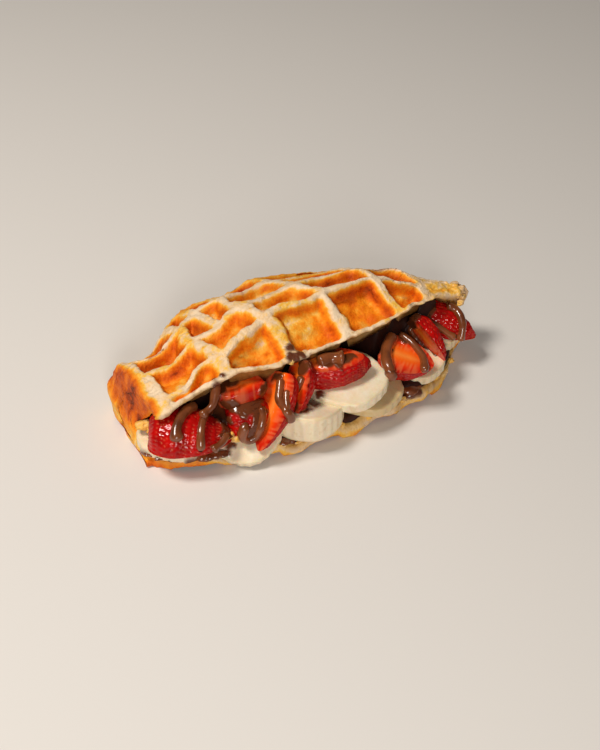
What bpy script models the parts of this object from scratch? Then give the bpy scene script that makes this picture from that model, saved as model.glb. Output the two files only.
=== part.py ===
"""A croffle: a waffled croissant split along one side, filled with banana, strawberry and chocolate."""

import bmesh
import bpy
import numpy as np
from mathutils import Euler

for old in list(bpy.data.objects):
    bpy.data.objects.remove(old, do_unlink=True)

# Sizes are in millimetres and angles in degrees. CENTRE is the middle of the finished part's underside.
MM = 0.001
CENTRE = (2.05, 9.35, 0.0)
CLEARANCE = 0.5
SLIVER = 0.01
FLAT_DEGREES = (3.0, 2.0, 1.2, 0.6, 0.3, 0.1)

# The croffle runs along X, blunt at its left end and pointed at its right end. Its open side faces -Y.
# Rib rows follow its length. Row 0 is the rib along the open edge, and row 4 is the back.
STATIONS = (-82.0, -62.0, -46.0, -35.0, -20.0, 9.0, 41.0, 63.0, 78.0, 90.0)
ROW_Y = (
    (-27.0, -25.0, -23.0, -18.5, -13.5, -12.5, -11.0, -14.0, -13.0, -10.0),
    (-8.0, -6.0, -3.4, 1.5, 6.5, 7.2, 8.0, 5.0, 4.0, 3.0),
    (12.0, 14.0, 15.5, 18.5, 21.0, 24.0, 24.0, 19.0, 12.0, 5.0),
    (27.0, 27.0, 32.0, 37.0, 38.5, 42.0, 38.5, 31.0, 19.0, 7.0),
    (33.5, 33.0, 43.5, 50.0, 51.5, 54.0, 48.0, 37.0, 22.0, 8.0),
)
ROW_Z = (
    (24.0, 28.0, 32.0, 35.0, 38.0, 39.5, 40.0, 33.0, 28.0, 26.0),
    (33.5, 39.5, 45.5, 49.0, 52.0, 53.0, 51.5, 43.5, 38.0, 34.0),
    (32.0, 37.5, 42.5, 46.5, 49.3, 49.3, 48.0, 43.8, 37.5, 33.0),
    (28.5, 33.0, 37.5, 40.5, 41.5, 40.0, 37.5, 36.0, 33.0, 31.0),
    (24.0, 26.5, 29.0, 31.5, 31.0, 33.0, 32.0, 30.0, 28.0, 27.0),
)
OPEN_EDGE_ROW = (0.78, 0.74, 0.59, 0.28, 0.04, 0.04, 0.15, 0.59, 0.72, 0.85)
SLIT_ROW = (1.55, 2.6, 3.1, 3.3, 3.4, 3.4, 3.3, 3.2, 2.9, 2.2)
SLIT_HALF = 2.0
SLIT_HEIGHT = (13.0, 14.0, 15.0, 15.5, 16.0, 16.0, 16.0, 16.0, 16.0, 17.0)
BASE_FRONT_Y = (-10.0, -22.0, -26.5, -28.5, -30.5, -31.0, -28.5, -24.5, -15.5, -4.0)
BASE_INNER_FRONT = (3.8, 3.8, 4.0, 4.5, 5.0, 5.5, 6.0, 6.5, 8.0, 10.0)
BASE_INNER_BACK = (12.0, 11.0, 10.5, 10.5, 10.5, 10.5, 10.5, 10.5, 11.0, 12.0)
RIB_STATIONS = (-104.0, -79.0, -49.5, -22.3, 8.5, 40.7, 64.0, 86.0, 109.0)
ROW_SKEW = (6.0, 0.0, -4.0, -7.0, -9.0)
# Where a long rib strays from its row: station, row, rows strayed, reach along the length.
BENDS = (
    (-58.0, 1.0, 0.28, 6.0),
    (-64.0, 2.0, -0.18, 7.0),
    (-49.5, 2.0, 0.08, 5.0),
    (-36.0, 2.0, -0.16, 7.0),
    (-66.0, 3.0, -0.12, 8.0),
)
BEND_ROWS = 0.45
SHORT_RIB_STATION, SHORT_RIB_ROW, SHORT_RIB_FADE = -35.9, 1.85, 0.15
TOP_END_LEFT, BASE_END_LEFT = -79.0, -84.0
TOP_END_RIGHT, BASE_END_RIGHT = 88.5, 82.5
SEAM_OUT, SEAM_HEIGHT = 2.5, 12.5
SCALLOPS = (-72.0, -18.0, 13.0, 34.0, 52.0, 70.0)
SCALLOP_OUT, SCALLOP_HALF = 2.6, 7.0

RIB_HALF = 2.6
RIB_FOOT = 6.6
ROW_PITCH = 24.5
POCKET_DEPTH = 8.0
POCKET_SHARES = (1.0, 1.0, 0.85)
POCKET_LIP, POCKET_LIP_FADE = 1.0, 3.0
FIRST_POCKET_ROW = 0.5
RIB_SAG, SAG_ROW = 1.6, 1.0
POCKET_LAST_ROW, POCKET_LAST_FADE = 4.15, 0.35
POCKET_LEFT, POCKET_LEFT_FADE = -80.0, 5.0
POCKET_RIGHT, POCKET_RIGHT_FADE = 66.0, 4.0
BASE_POCKET_DEPTH = 4.5
BASE_POCKET_SHIFT, BASE_POCKET_FADE = 12.0, 0.45
TOP_THICK = 12.5
LIP_THICKS = (4.5, 3.4, 2.6, 2.2, 2.0, 1.8, 1.8, 2.4, 5.0, 9.0)
LIP_REACH = 14.0
LIP_CROWDING = 1.6
FLOOR_THICK, WALL_ROWS = 2.6, 0.2
TOP_LIP_BULGE, BASE_LIP_BULGE = 1.6, 1.2
TOP_LIP_BACK, BASE_LIP_BACK = 1.2, 0.8
BACK_ROUND, BACK_BULGE, BACK_FOOT = 5.0, 3.0, 0.8
LEAN_HEIGHT = 30.0
# Each end closes in two steps: how much of the ring is left, and how far out it lies.
END_ROUNDS = ((0.82, 1.6), (0.45, 2.6))

LENGTH_STEPS = 8
TOP_STEPS, BACK_STEPS, BASE_STEPS = 7, 3, 10
INNER_TOP_STEPS, INNER_BASE_STEPS = 7, 5


def through(knots, rows, at):
    """Smooth curve through the rows at the knots, with Hermite pieces; rows (k, n) and at (m, n)."""
    knots = np.asarray(knots, float)
    rows = np.asarray(rows, float)
    slopes = np.gradient(rows, knots, axis=0)
    piece = np.clip(np.searchsorted(knots, at, side="right") - 1, 0, len(knots) - 2)
    width = knots[piece + 1] - knots[piece]
    t = np.clip((at - knots[piece]) / width, 0.0, 1.0)
    start, end = (np.take_along_axis(rows, piece + k, axis=0) for k in (0, 1))
    leave, arrive = (np.take_along_axis(slopes, piece + k, axis=0) for k in (0, 1))
    bend = t * t * (3.0 - 2.0 * t)
    pull = t * (1.0 - t)
    return start + (end - start) * bend + width * pull * (leave * (1.0 - t) - arrive * t)


def along(values, x):
    """A size given at the stations, read at x."""
    return through(STATIONS, np.asarray(values, float)[:, None], np.asarray(x, float)[:, None])[:, 0]


def ease(t):
    """A smooth step, held at 0 and 1 outside."""
    t = np.clip(t, 0.0, 1.0)
    return t * t * (3.0 - 2.0 * t)


def hollow(cells, pitch):
    """0 on a rib and 1 on a pocket's floor, across cells that are one pitch wide."""
    away = np.abs(cells - np.round(cells)) * pitch
    return ease((away - RIB_HALF) / (RIB_FOOT - RIB_HALF))


def columns(x):
    """Counts cross ribs along the length."""
    return np.interp(x, RIB_STATIONS, np.arange(len(RIB_STATIONS)))


def top_point(x, row):
    """Where a rib row lies over a station: y and z of the top before its pockets; x (n), row (m, n)."""
    y = through(range(5), np.stack([along(values, x) for values in ROW_Y]), row)
    z = through(range(5), np.stack([along(values, x) for values in ROW_Z]), row)
    return y, z


def strays(x, row):
    """How many rows the long ribs stray at a point: a bell curve round each bend."""
    away = 0.0 * row
    for station, bent, rows, reach in BENDS:
        far = ((x[None, :] - station) / reach) ** 2 + ((row - bent) / BEND_ROWS) ** 2
        away = away + rows * np.exp(-far)
    return away


def short_rib(x, row):
    """0 on the short cross rib, which runs from its first row to the back, and 1 away from it."""
    aside = ease((np.abs(x - SHORT_RIB_STATION) - RIB_HALF) / (RIB_FOOT - RIB_HALF))[None, :]
    return 1.0 - (1.0 - aside) * ease((row - SHORT_RIB_ROW) / SHORT_RIB_FADE)


def top_pocket(x, row, edge):
    """Depth of the top's pockets, fading out at the open edge, at the back and at both ends."""
    across = np.interp(x, RIB_STATIONS, np.gradient(np.asarray(RIB_STATIONS)))
    down = np.where(row < FIRST_POCKET_ROW, 1.0, hollow(row - strays(x, row), ROW_PITCH))
    cell = hollow(columns(x), across)[None, :] * down * short_rib(x, row)
    front = ease(((row - edge) * ROW_PITCH - POCKET_LIP) / POCKET_LIP_FADE)
    back = ease((POCKET_LAST_ROW - row) / POCKET_LAST_FADE)
    left = ease((x - POCKET_LEFT) / POCKET_LEFT_FADE)[None, :]
    right = ease((POCKET_RIGHT - x) / POCKET_RIGHT_FADE)[None, :]
    share = np.interp(row, (0.0, 2.0, 4.0), POCKET_SHARES)
    return POCKET_DEPTH * cell * front * back * left * right * share


def sag(x, row):
    """How far the long ribs hang between two cross ribs, behind the first row."""
    between = np.sin(np.pi * columns(x))[None, :] ** 2
    return RIB_SAG * between * ease(row - SAG_ROW)


def base_pocket(x, y):
    """Depth of the underside's pockets."""
    across = np.interp(x, RIB_STATIONS, np.gradient(np.asarray(RIB_STATIONS)))
    rows = (y + BASE_POCKET_SHIFT) / ROW_PITCH
    return BASE_POCKET_DEPTH * hollow(columns(x), across)[None, :] * hollow(rows, ROW_PITCH)


def place(x, y, z, skew):
    """Stretches stations between the two ends, which lean as they rise."""
    rise = np.clip(z / LEAN_HEIGHT, 0.0, 1.0)
    seam = SEAM_OUT * np.exp(-(((z - SEAM_HEIGHT) / 5.0) ** 2))
    left = BASE_END_LEFT - seam + (TOP_END_LEFT - BASE_END_LEFT) * rise
    right = BASE_END_RIGHT + (TOP_END_RIGHT - BASE_END_RIGHT) * rise
    share = (x[None, :] - STATIONS[0]) / (STATIONS[-1] - STATIONS[0])
    return np.stack([left + (right - left) * share + skew * (4.0 * share * (1.0 - share)) ** 0.7, y, z], -1)


def outer_curve(x, top_steps, back_steps, base_steps):
    """The crust from the top's open edge, over the top, round the back and under to the base's edge."""
    edge = along(OPEN_EDGE_ROW, x)[None, :]
    first = np.linspace(0.0, 1.0, top_steps + 1)[:-1, None]
    others = np.linspace(1.0, 4.0, 3 * top_steps + 1)[:, None]
    row = np.concatenate([edge + (1.0 - edge) * first, others + 0.0 * edge])
    y, z = top_point(x, row)
    depth = top_pocket(x, row, edge)
    z = z - sag(x, row)
    skew = np.interp(row, range(5), ROW_SKEW)
    slope = np.gradient(z, axis=0) / np.maximum(np.abs(np.gradient(y, axis=0)), 0.5)
    lean = 1.0 / np.sqrt(1.0 + np.clip(slope, -1.5, 1.5) ** 2)
    top = place(x, y + depth * lean * np.clip(slope, -1.0, 1.0) * 0.6, z - depth * lean, skew)
    s = (np.arange(1, back_steps + 1) / (back_steps + 1.0))[:, None]
    turn = s * np.pi
    high = z[-1:]
    bulge = BACK_BULGE * np.sin(turn)
    drop = 0.5 - 0.5 * np.cos(turn)
    fall = high * (1.0 - drop) + BACK_FOOT * drop
    back = place(x, y[-1:] + bulge - BACK_ROUND * drop**3, fall, ROW_SKEW[-1] * (1.0 - s) + 0.0 * fall)
    start = y[-1:] - BACK_ROUND
    front = base_edge(x)
    s = np.linspace(0.0, 1.0, base_steps)[:, None]
    y = start + (front - start) * s
    z = base_pocket(x, y) * (1.0 - BASE_POCKET_FADE * s**4)
    base = place(x, y, z, 0.0 * y)
    return np.concatenate([top, back, base])


def base_edge(x):
    """The base's open edge, with its uneven scallops."""
    out = sum(np.exp(-(((x - scallop) / SCALLOP_HALF) ** 2)) for scallop in SCALLOPS)
    return (along(BASE_FRONT_Y, x) - SCALLOP_OUT * out)[None, :]


def inner_curve(x, top_steps, base_steps):
    """The cut faces, from the top's open edge in to the slit's end and out over the base."""
    edge = along(OPEN_EDGE_ROW, x)[None, :]
    slit = along(SLIT_ROW, x)[None, :]
    level = along(SLIT_HEIGHT, x)[None, :]
    s = np.linspace(0.0, 1.0, top_steps)[:, None] ** LIP_CROWDING
    row = edge + (slit - edge) * s
    y, z = top_point(x, row)
    skew = np.interp(row, range(5), ROW_SKEW)
    lips = along(LIP_THICKS, x)[None, :]
    thick = lips + (TOP_THICK - lips) * ease((y - y[:1]) / LIP_REACH)
    wall = top_pocket(x, np.maximum(row - WALL_ROWS, edge), edge)
    floor = np.maximum(top_pocket(x, row, edge), wall)
    thick = np.maximum(thick, FLOOR_THICK + floor + sag(x, row))
    close = s**5
    under = (z - thick) * (1.0 - close) + (level + SLIT_HALF) * close
    top = place(x, y + TOP_LIP_BACK * (1.0 - s), under, skew)
    reach = y[-1:]
    front = base_edge(x)
    s = np.linspace(0.0, 1.0, base_steps)[:, None]
    y = reach + (front + BASE_LIP_BACK - reach) * s
    low = along(BASE_INNER_BACK, x)[None, :] * (1.0 - s) + along(BASE_INNER_FRONT, x)[None, :] * s
    low = low + 0.5 * s**3 * base_pocket(x, y)
    lift = (level - SLIT_HALF - low[:1]) * (1.0 - s) ** 5
    base = place(x, y, low + lift, skew[-1:] * (1.0 - s) ** 2)
    return np.concatenate([top, base])


def lengthwise(steps):
    """Stations from end to end, an equal number between neighbouring cross ribs."""
    ribs = RIB_STATIONS[1:-1]
    between = [np.linspace(a, b, steps, endpoint=False) for a, b in zip(ribs[:-1], ribs[1:])]
    start = np.linspace(STATIONS[0], ribs[0], 2, endpoint=False)
    return np.concatenate([start, *between, np.linspace(ribs[-1], STATIONS[-1], 2)])


def lip(first, last, bulge, steps):
    """Rounds an edge from the last outer point to the first inner point."""
    turn = (np.arange(1, steps + 1) / (steps + 1.0))[:, None, None] * np.pi
    middle = 0.5 * (first + last)
    arm = 0.5 * (last - first)
    out = np.array([0.0, -bulge, 0.0])
    return middle - arm * np.cos(turn) + out * np.sin(turn)


def zip_strip(a, b):
    """Triangles between two rows of point numbers of unequal length."""
    faces = []
    i, k = 0, 0
    while i < len(a) - 1 or k < len(b) - 1:
        ahead = (i + 1) / max(len(a) - 1, 1) <= (k + 1) / max(len(b) - 1, 1)
        if k == len(b) - 1 or (i < len(a) - 1 and ahead):
            faces.append((a[i], a[i + 1], b[k]))
            i += 1
        else:
            faces.append((a[i], b[k + 1], b[k]))
            k += 1
    return faces


def mesh_object(name, points, faces, material):
    """A mesh object of triangles from points in millimetres; fours are split from their first corner."""
    mesh = bpy.data.meshes.new(name)
    triangles = [(int(f[0]), int(f[k]), int(f[k + 1])) for f in faces for k in range(1, len(f) - 1)]
    mesh.from_pydata(((np.asarray(points) - CENTRE) * MM).tolist(), [], triangles)
    mesh.validate()
    mesh.materials.append(material)
    made = bpy.data.objects.new(name, mesh)
    bpy.context.scene.collection.objects.link(made)
    return made


def material(name, colour, roughness):
    """A plain Principled material."""
    made = bpy.data.materials.new(name)
    made.use_nodes = True
    shader = made.node_tree.nodes["Principled BSDF"]
    shader.inputs["Base Color"].default_value = (*colour, 1.0)
    shader.inputs["Roughness"].default_value = roughness
    shader.inputs["Metallic"].default_value = 0.0
    made.diffuse_color = (*colour, 1.0)
    return made


def loops_to_faces(rows, ring):
    """Quads between neighbouring closed rings."""
    r, k = np.meshgrid(np.arange(rows - 1), np.arange(ring), indexing="ij")
    after = (k + 1) % ring
    quads = np.stack([r * ring + k, r * ring + after, (r + 1) * ring + after, (r + 1) * ring + k], -1)
    return quads.reshape(-1, 4).tolist()


def build_croffle(crust):
    """The split croissant as one closed skin of rings across it, drawn together at both ends."""
    x = lengthwise(LENGTH_STEPS)
    outer = outer_curve(x, TOP_STEPS, BACK_STEPS, BASE_STEPS)
    inner = inner_curve(x, INNER_TOP_STEPS, INNER_BASE_STEPS)
    base_lip = lip(outer[-1], inner[-1], BASE_LIP_BULGE, 1)
    top_lip = lip(inner[0], outer[0], TOP_LIP_BULGE, 1)
    ring = np.concatenate([outer, base_lip, inner[::-1], top_lip])
    count = len(outer)
    partner = inner[np.round(np.linspace(0, len(inner) - 1, count)).astype(int)]
    back = outer[np.round(np.linspace(0, count - 1, len(inner))).astype(int)]
    middle = np.concatenate(
        [
            0.5 * (outer + partner),
            0.5 * (base_lip + 0.5 * (outer[-1:] + inner[-1:])),
            (0.5 * (inner + back))[::-1],
            0.5 * (top_lip + 0.5 * (outer[:1] + inner[:1])),
        ]
    )
    stations = []
    for station, way in ((0, -1.0), (-1, 1.0)):
        for shrink, step in END_ROUNDS:
            end = middle[:, station] + (ring[:, station] - middle[:, station]) * shrink
            stations.append(end + np.array([way * step, 0.0, 0.0]))
    rows = np.concatenate([np.stack(stations[1::-1], 1), ring, np.stack(stations[2:], 1)], 1)
    rows = rows.transpose(1, 0, 2)
    size = rows.shape[1]
    faces = loops_to_faces(len(rows), size)
    a = list(range(count))
    b = list(range(count + len(inner), count, -1))
    lips = (count, size - 1)
    for first, way in ((0, -1), ((len(rows) - 1) * size, 1)):
        top = [lips[1], *a, lips[0]]
        strip = zip_strip([first + n for n in top], [first + n for n in b])
        # The two lip points close the strip's ends.
        faces += [face[::way] for face in strip]
    return mesh_object("croffle", rows.reshape(-1, 3), [face[::-1] for face in faces], crust)


def closed_tube(name, rings, ends, paint):
    """A closed skin of equal rings with a point at each end; rings (n, m, 3) in millimetres."""
    count, ring = rings.shape[:2]
    points = np.concatenate([rings.reshape(-1, 3), np.asarray(ends)])
    faces = loops_to_faces(count, ring)
    first, last = count * ring, count * ring + 1
    for k in range(ring):
        following = (k + 1) % ring
        faces.append((first, following, k))
        faces.append((last, (count - 1) * ring + k, (count - 1) * ring + following))
    return mesh_object(name, points, faces, paint)


def turned(points, turn, at):
    """Local points turned by XYZ degrees and moved to their place in millimetres."""
    spin = np.array(Euler(np.radians(turn)).to_matrix())
    return np.asarray(points) @ spin.T + np.asarray(at)


def banana_slice(name, at, turn, radius, thick, slant=0.0, phase=0.0):
    """A slice across a banana: a faintly five-sided disc with soft rims, thicker to one side if slanted."""
    around = np.linspace(0.0, 2.0 * np.pi, BANANA_SIDES, endpoint=False)
    corners = BANANA_CORNERS * np.cos(5.0 * around + phase)
    oval = BANANA_OVAL * np.cos(2.0 * around - phase)
    outline = radius * (1.0 + corners + oval)
    rings = []
    for reach, level in BANANA_PROFILE:
        x, y = (outline * reach * f(around) for f in (np.cos, np.sin))
        tall = thick + slant * y / radius
        rings.append(np.stack([x, y, (level + 0.5) * tall - 0.5 * thick], -1))
    ends = ((0.0, 0.0, 0.5 * thick), (0.0, 0.0, -0.5 * thick))
    rings = turned(np.stack(rings)[:, ::-1], turn, at)
    return closed_tube(name, rings, turned(ends, turn, at), BANANA)


def berry_point(size, t, around):
    """A strawberry's skin and cut faces: t runs from its cut shoulder to its tip."""
    length, radius, low, high = size
    rise = np.sqrt(np.clip(1.0 - (1.0 - np.clip(t, 0.0, SHOULDER) / SHOULDER) ** 2, 0.0, 1.0))
    taper = np.clip(1.0 - (np.clip(t - SHOULDER, 0.0, 1.0) / (1.0 - SHOULDER)) ** 2.0, 0.0, 1.0) ** TAPER
    swell = radius * np.where(t < SHOULDER, HULLED + (1.0 - HULLED) * rise, taper)
    x = length * (t - 0.5)
    return np.stack(
        np.broadcast_arrays(x, swell * np.cos(around), np.clip(swell * np.sin(around), low, high)), -1
    )


def berry_middle(size):
    """Height of a point inside a cut strawberry, on its axis."""
    return 0.5 * (max(size[2], -0.6 * size[1]) + min(size[3], 0.6 * size[1]))


def strawberry(name, at, turn, size):
    """A strawberry half or slice; size is its length, radius and the heights of its two cut faces."""
    t = np.array(BERRY_T)[:, None]
    around = np.linspace(0.0, 2.0 * np.pi, BERRY_SIDES, endpoint=False)[None, :]
    rings = berry_point(size, t, around)
    middle = berry_middle(size)
    ends = ((-0.5 * size[0] - 0.02 * size[1], 0.0, middle), (0.5 * size[0], 0.0, 0.25 * middle))
    rings = turned(rings, turn, at)
    return closed_tube(name, rings, turned(ends, turn, at), BERRY)


def strand_on(berry, path, thick):
    """The line of a thick drizzle that lies on a strawberry, along a path of (t, degrees around)."""
    at, turn, size = berry
    path = np.asarray(path, float)
    knots = np.arange(len(path), dtype=float)
    steps = np.linspace(0.0, knots[-1], STRAND_STEPS * (len(path) - 1) + 1)
    t, around = through(knots, path, np.repeat(steps[:, None], 2, axis=1)).T
    around = np.radians(around)
    centre = berry_point(size, t, around)
    wide = berry_point(size, t, around + 0.05) - centre
    next_, last = (berry_point(size, np.clip(t + step, 0.0, 1.0), around) for step in (0.02, -0.02))
    normal = np.cross(wide, next_ - last)
    core = np.stack([centre[:, 0], 0.0 * t, 0.0 * t + berry_middle(size)], -1)
    normal *= np.sign((normal * (centre - core)).sum(-1, keepdims=True))
    normal /= np.linalg.norm(normal, axis=-1, keepdims=True)
    return turned(centre + normal * thick * STRAND_LIFT, turn, at)


def strand(name, path, thick):
    """A round strand of sauce along a path, with tapered ends."""
    ahead = np.gradient(path, axis=0)
    ahead /= np.linalg.norm(ahead, axis=1, keepdims=True)
    side = np.cross(ahead, STRAND_OVER)
    side /= np.linalg.norm(side, axis=1, keepdims=True)
    over = np.cross(side, ahead)
    around = np.linspace(0.0, 2.0 * np.pi, STRAND_SIDES, endpoint=False)
    s = np.linspace(0.0, 1.0, len(path))
    radius = thick * np.minimum(1.0, 0.55 + 6.0 * np.minimum(s, 1.0 - s))
    spoke = np.cos(around)[None, :, None] * side[:, None] + np.sin(around)[None, :, None] * over[:, None]
    rings = path[:, None] + spoke * radius[:, None, None]
    ends = (path[0] - ahead[0] * 0.4 * thick, path[-1] + ahead[-1] * 0.4 * thick)
    return outward(closed_tube(name, rings, ends, CHOCOLATE))


def filling(paint):
    """Chocolate spread over the base, rising behind the fruit to fill the hollow up to the top."""
    x = lengthwise(LENGTH_STEPS)[SPREAD_FIRST:SPREAD_LAST:SPREAD_SKIP]
    inner = inner_curve(x, INNER_TOP_STEPS, INNER_BASE_STEPS)
    roof, floor = inner[:INNER_TOP_STEPS], inner[INNER_TOP_STEPS:]
    share = np.linspace(0.0, 1.0, SPREAD_ACROSS)
    full = ease((x - x[0] - HEAP_START) / HEAP_SLOPE) * ease((x[-1] - HEAP_STOP - x) / HEAP_SLOPE)
    rings = []
    for k in range(len(x)):
        front, back = floor[-1, k, 1] + SPREAD_INSET, floor[0, k, 1] - SPREAD_BACK
        y = front + (back - front) * share
        low, high = (
            np.stack([np.interp(y, side[::way, k, 1], side[::way, k, axis]) for axis in (0, 1, 2)], -1)
            for side, way in ((floor, -1), (roof, 1))
        )
        low[:, 2] += SPREAD_GAP
        thin = low[:, 2] + SPREAD_THICK
        tall = np.maximum(high[:, 2] - SPREAD_GAP, thin)
        over = low.copy()
        over[:, 2] = thin + (tall - thin) * full[k] * ease((y - HEAP_FRONT) / HEAP_RISE)
        rings.append(np.concatenate([low, over[::-1]]))
    rings = np.stack(rings)
    ends = (rings[0].mean(0), rings[-1].mean(0))
    return outward(closed_tube("chocolate_filling", rings, ends, paint))


def volume(made):
    """Signed volume of a mesh object, in cubic metres."""
    mesh = made.data
    mesh.calc_loop_triangles()
    total = 0.0
    for triangle in mesh.loop_triangles:
        a, b, c = (mesh.vertices[k].co for k in triangle.vertices)
        total += a.dot(b.cross(c)) / 6.0
    return total


def outward(made):
    """Turns a mesh's faces to point out."""
    if volume(made) < 0.0:
        made.data.flip_normals()
    return made


def keep_largest(made):
    """Drops the loose scraps that a cut leaves."""
    shell = bmesh.new()
    shell.from_mesh(made.data)
    left = set(shell.verts)
    groups = []
    while left:
        front = [left.pop()]
        group = set(front)
        while front:
            for edge in front.pop().link_edges:
                for vertex in edge.verts:
                    if vertex in left:
                        left.discard(vertex)
                        group.add(vertex)
                        front.append(vertex)
        groups.append(group)
    largest = max(groups, key=len)
    bmesh.ops.delete(shell, geom=[v for v in shell.verts if v not in largest], context="VERTS")
    shell.to_mesh(made.data)
    shell.free()


def join_slivers(made):
    """Joins the slivers that the cuts leave into nearly flat faces, where the skin stays closed."""
    for angle in FLAT_DEGREES:
        shell = bmesh.new()
        shell.from_mesh(made.data)
        bmesh.ops.dissolve_degenerate(shell, dist=SLIVER * MM, edges=list(shell.edges))
        verts, edges = list(shell.verts), list(shell.edges)
        bmesh.ops.dissolve_limit(shell, angle_limit=np.radians(angle), verts=verts, edges=edges)
        bmesh.ops.triangulate(shell, faces=list(shell.faces))
        closed = all(len(edge.link_faces) == 2 for edge in shell.edges)
        if closed:
            shell.to_mesh(made.data)
        shell.free()
        if closed:
            break


def boxes_meet(a, b):
    """Whether two nodes' boxes come closer than the clearance."""
    low_a, low_b = (np.min([v.co for v in made.data.vertices], axis=0) for made in (a, b))
    high_a, high_b = (np.max([v.co for v in made.data.vertices], axis=0) for made in (a, b))
    near = CLEARANCE * MM
    return bool((low_a < high_b + near).all() and (low_b < high_a + near).all())


def apply_boolean(made, operation, others):
    """One applied Boolean with a collection, whose objects are then removed."""
    helpers = bpy.data.collections.new("helpers")
    bpy.context.scene.collection.children.link(helpers)
    for other in others:
        for home in list(other.users_collection):
            home.objects.unlink(other)
        helpers.objects.link(other)
    cut = made.modifiers.new(operation.lower(), "BOOLEAN")
    cut.operation = operation
    cut.solver = "MANIFOLD"
    cut.operand_type = "COLLECTION"
    cut.collection = helpers
    bpy.context.view_layer.update()
    finished = bpy.data.meshes.new_from_object(made.evaluated_get(bpy.context.evaluated_depsgraph_get()))
    made.modifiers.clear()
    made.data = finished
    for other in others:
        bpy.data.objects.remove(other, do_unlink=True)
    bpy.data.collections.remove(helpers)


def swollen(made, by):
    """A copy of a node that is larger by a gap all round, to cut its neighbour clear of it."""
    copy = made.copy()
    copy.data = made.data.copy()
    for vertex, normal in zip(copy.data.vertices, [v.normal.copy() for v in copy.data.vertices]):
        vertex.co += normal * by * MM
    bpy.context.scene.collection.objects.link(copy)
    return copy


CRUST = material("crust", (0.62, 0.33, 0.12), 0.6)
BANANA = material("banana", (0.85, 0.75, 0.52), 0.5)
BERRY = material("strawberry", (0.65, 0.03, 0.02), 0.35)
CHOCOLATE = material("chocolate", (0.09, 0.03, 0.015), 0.3)

# Banana slices are faintly five-sided; a profile gives reach and level from one cut face to the other.
BANANA_SIDES = 18
BANANA_CORNERS, BANANA_OVAL = 0.025, 0.03
BANANA_PROFILE = ((0.93, 0.5), (1.0, 0.34), (1.02, 0.0), (1.0, -0.34), (0.93, -0.5))
# Strawberries swell to a shoulder and taper to a tip. A cut height of UNCUT leaves that side whole.
BERRY_SIDES = 12
BERRY_T = (0.0, 0.06, 0.16, 0.3, 0.5, 0.7, 0.87, 0.975)
SHOULDER, HULLED, TAPER = 0.3, 0.45, 0.72
UNCUT = 99.0
STRAND_SIDES, STRAND_STEPS, STRAND_LIFT = 5, 2, 0.35
STRAND_OVER = (0.13, 0.31, 0.94)

# Each slice: its place, its turn, its radius and thickness, and for one its slant.
BANANAS = {
    "banana_slice_1": ((-68.0, -2.8, 8.9), (3.0, -2.7, -29.7), 18.0, 6.5),
    "banana_slice_2": ((-42.4, -17.6, 10.5), (28.0, -2.7, -29.7), 17.0, 5.0),
    "banana_slice_3": ((-12.0, -21.5, 12.0), (0.0, -2.7, -29.7), 16.0, 11.0, -5.0),
    "banana_slice_4": ((10.6, -18.9, 20.0), (6.0, -2.7, -29.7), 18.0, 6.5),
    "banana_slice_5": ((20.9, -20.2, 11.5), (2.0, -2.7, -29.7), 16.5, 5.5),
    "banana_slice_6": ((52.0, -13.7, 12.0), (4.0, -2.7, -29.7), 14.0, 5.5),
    "banana_slice_7": ((70.7, -0.5, 13.0), (4.0, -2.7, -29.7), 13.0, 5.5),
}
# Each berry: its place, its turn, and its length, radius and two cut heights.
BERRIES = {
    "strawberry_1": ((-66.5, -14.1, 12.9), (174.0, -1.4, -30.8), (37.0, 15.0, -UNCUT, 0.0)),
    "strawberry_2": ((-39.6, -10.4, 28.8), (-4.0, -7.0, -25.9), (22.0, 9.5, -UNCUT, 3.0)),
    "strawberry_3": ((-38.0, -16.5, 16.5), (-155.2, -11.3, -22.2), (22.0, 11.5, -UNCUT, 0.0)),
    "strawberry_4": ((-31.8, -23.6, 22.0), (29.0, 42.1, -140.1), (37.0, 9.5, -UNCUT, 0.0)),
    "strawberry_5": ((-16.9, -20.2, 27.0), (47.0, 43.4, -125.3), (25.0, 8.0, -UNCUT, 0.0)),
    "strawberry_6": ((6.4, -15.6, 27.8), (-6.0, -6.2, -26.7), (33.0, 11.0, -5.5, 4.5)),
    "strawberry_7": ((41.3, -22.3, 25.5), (4.0, 8.2, -46.9), (26.0, 12.0, -UNCUT, 0.0)),
    "strawberry_8": ((58.7, -13.0, 22.0), (113.7, 30.3, -67.2), (26.0, 8.0, -UNCUT, 0.0)),
    "strawberry_9": ((76.8, -1.8, 18.0), (-170.4, 10.3, -48.9), (34.0, 10.0, -UNCUT, 0.0)),
}
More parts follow.
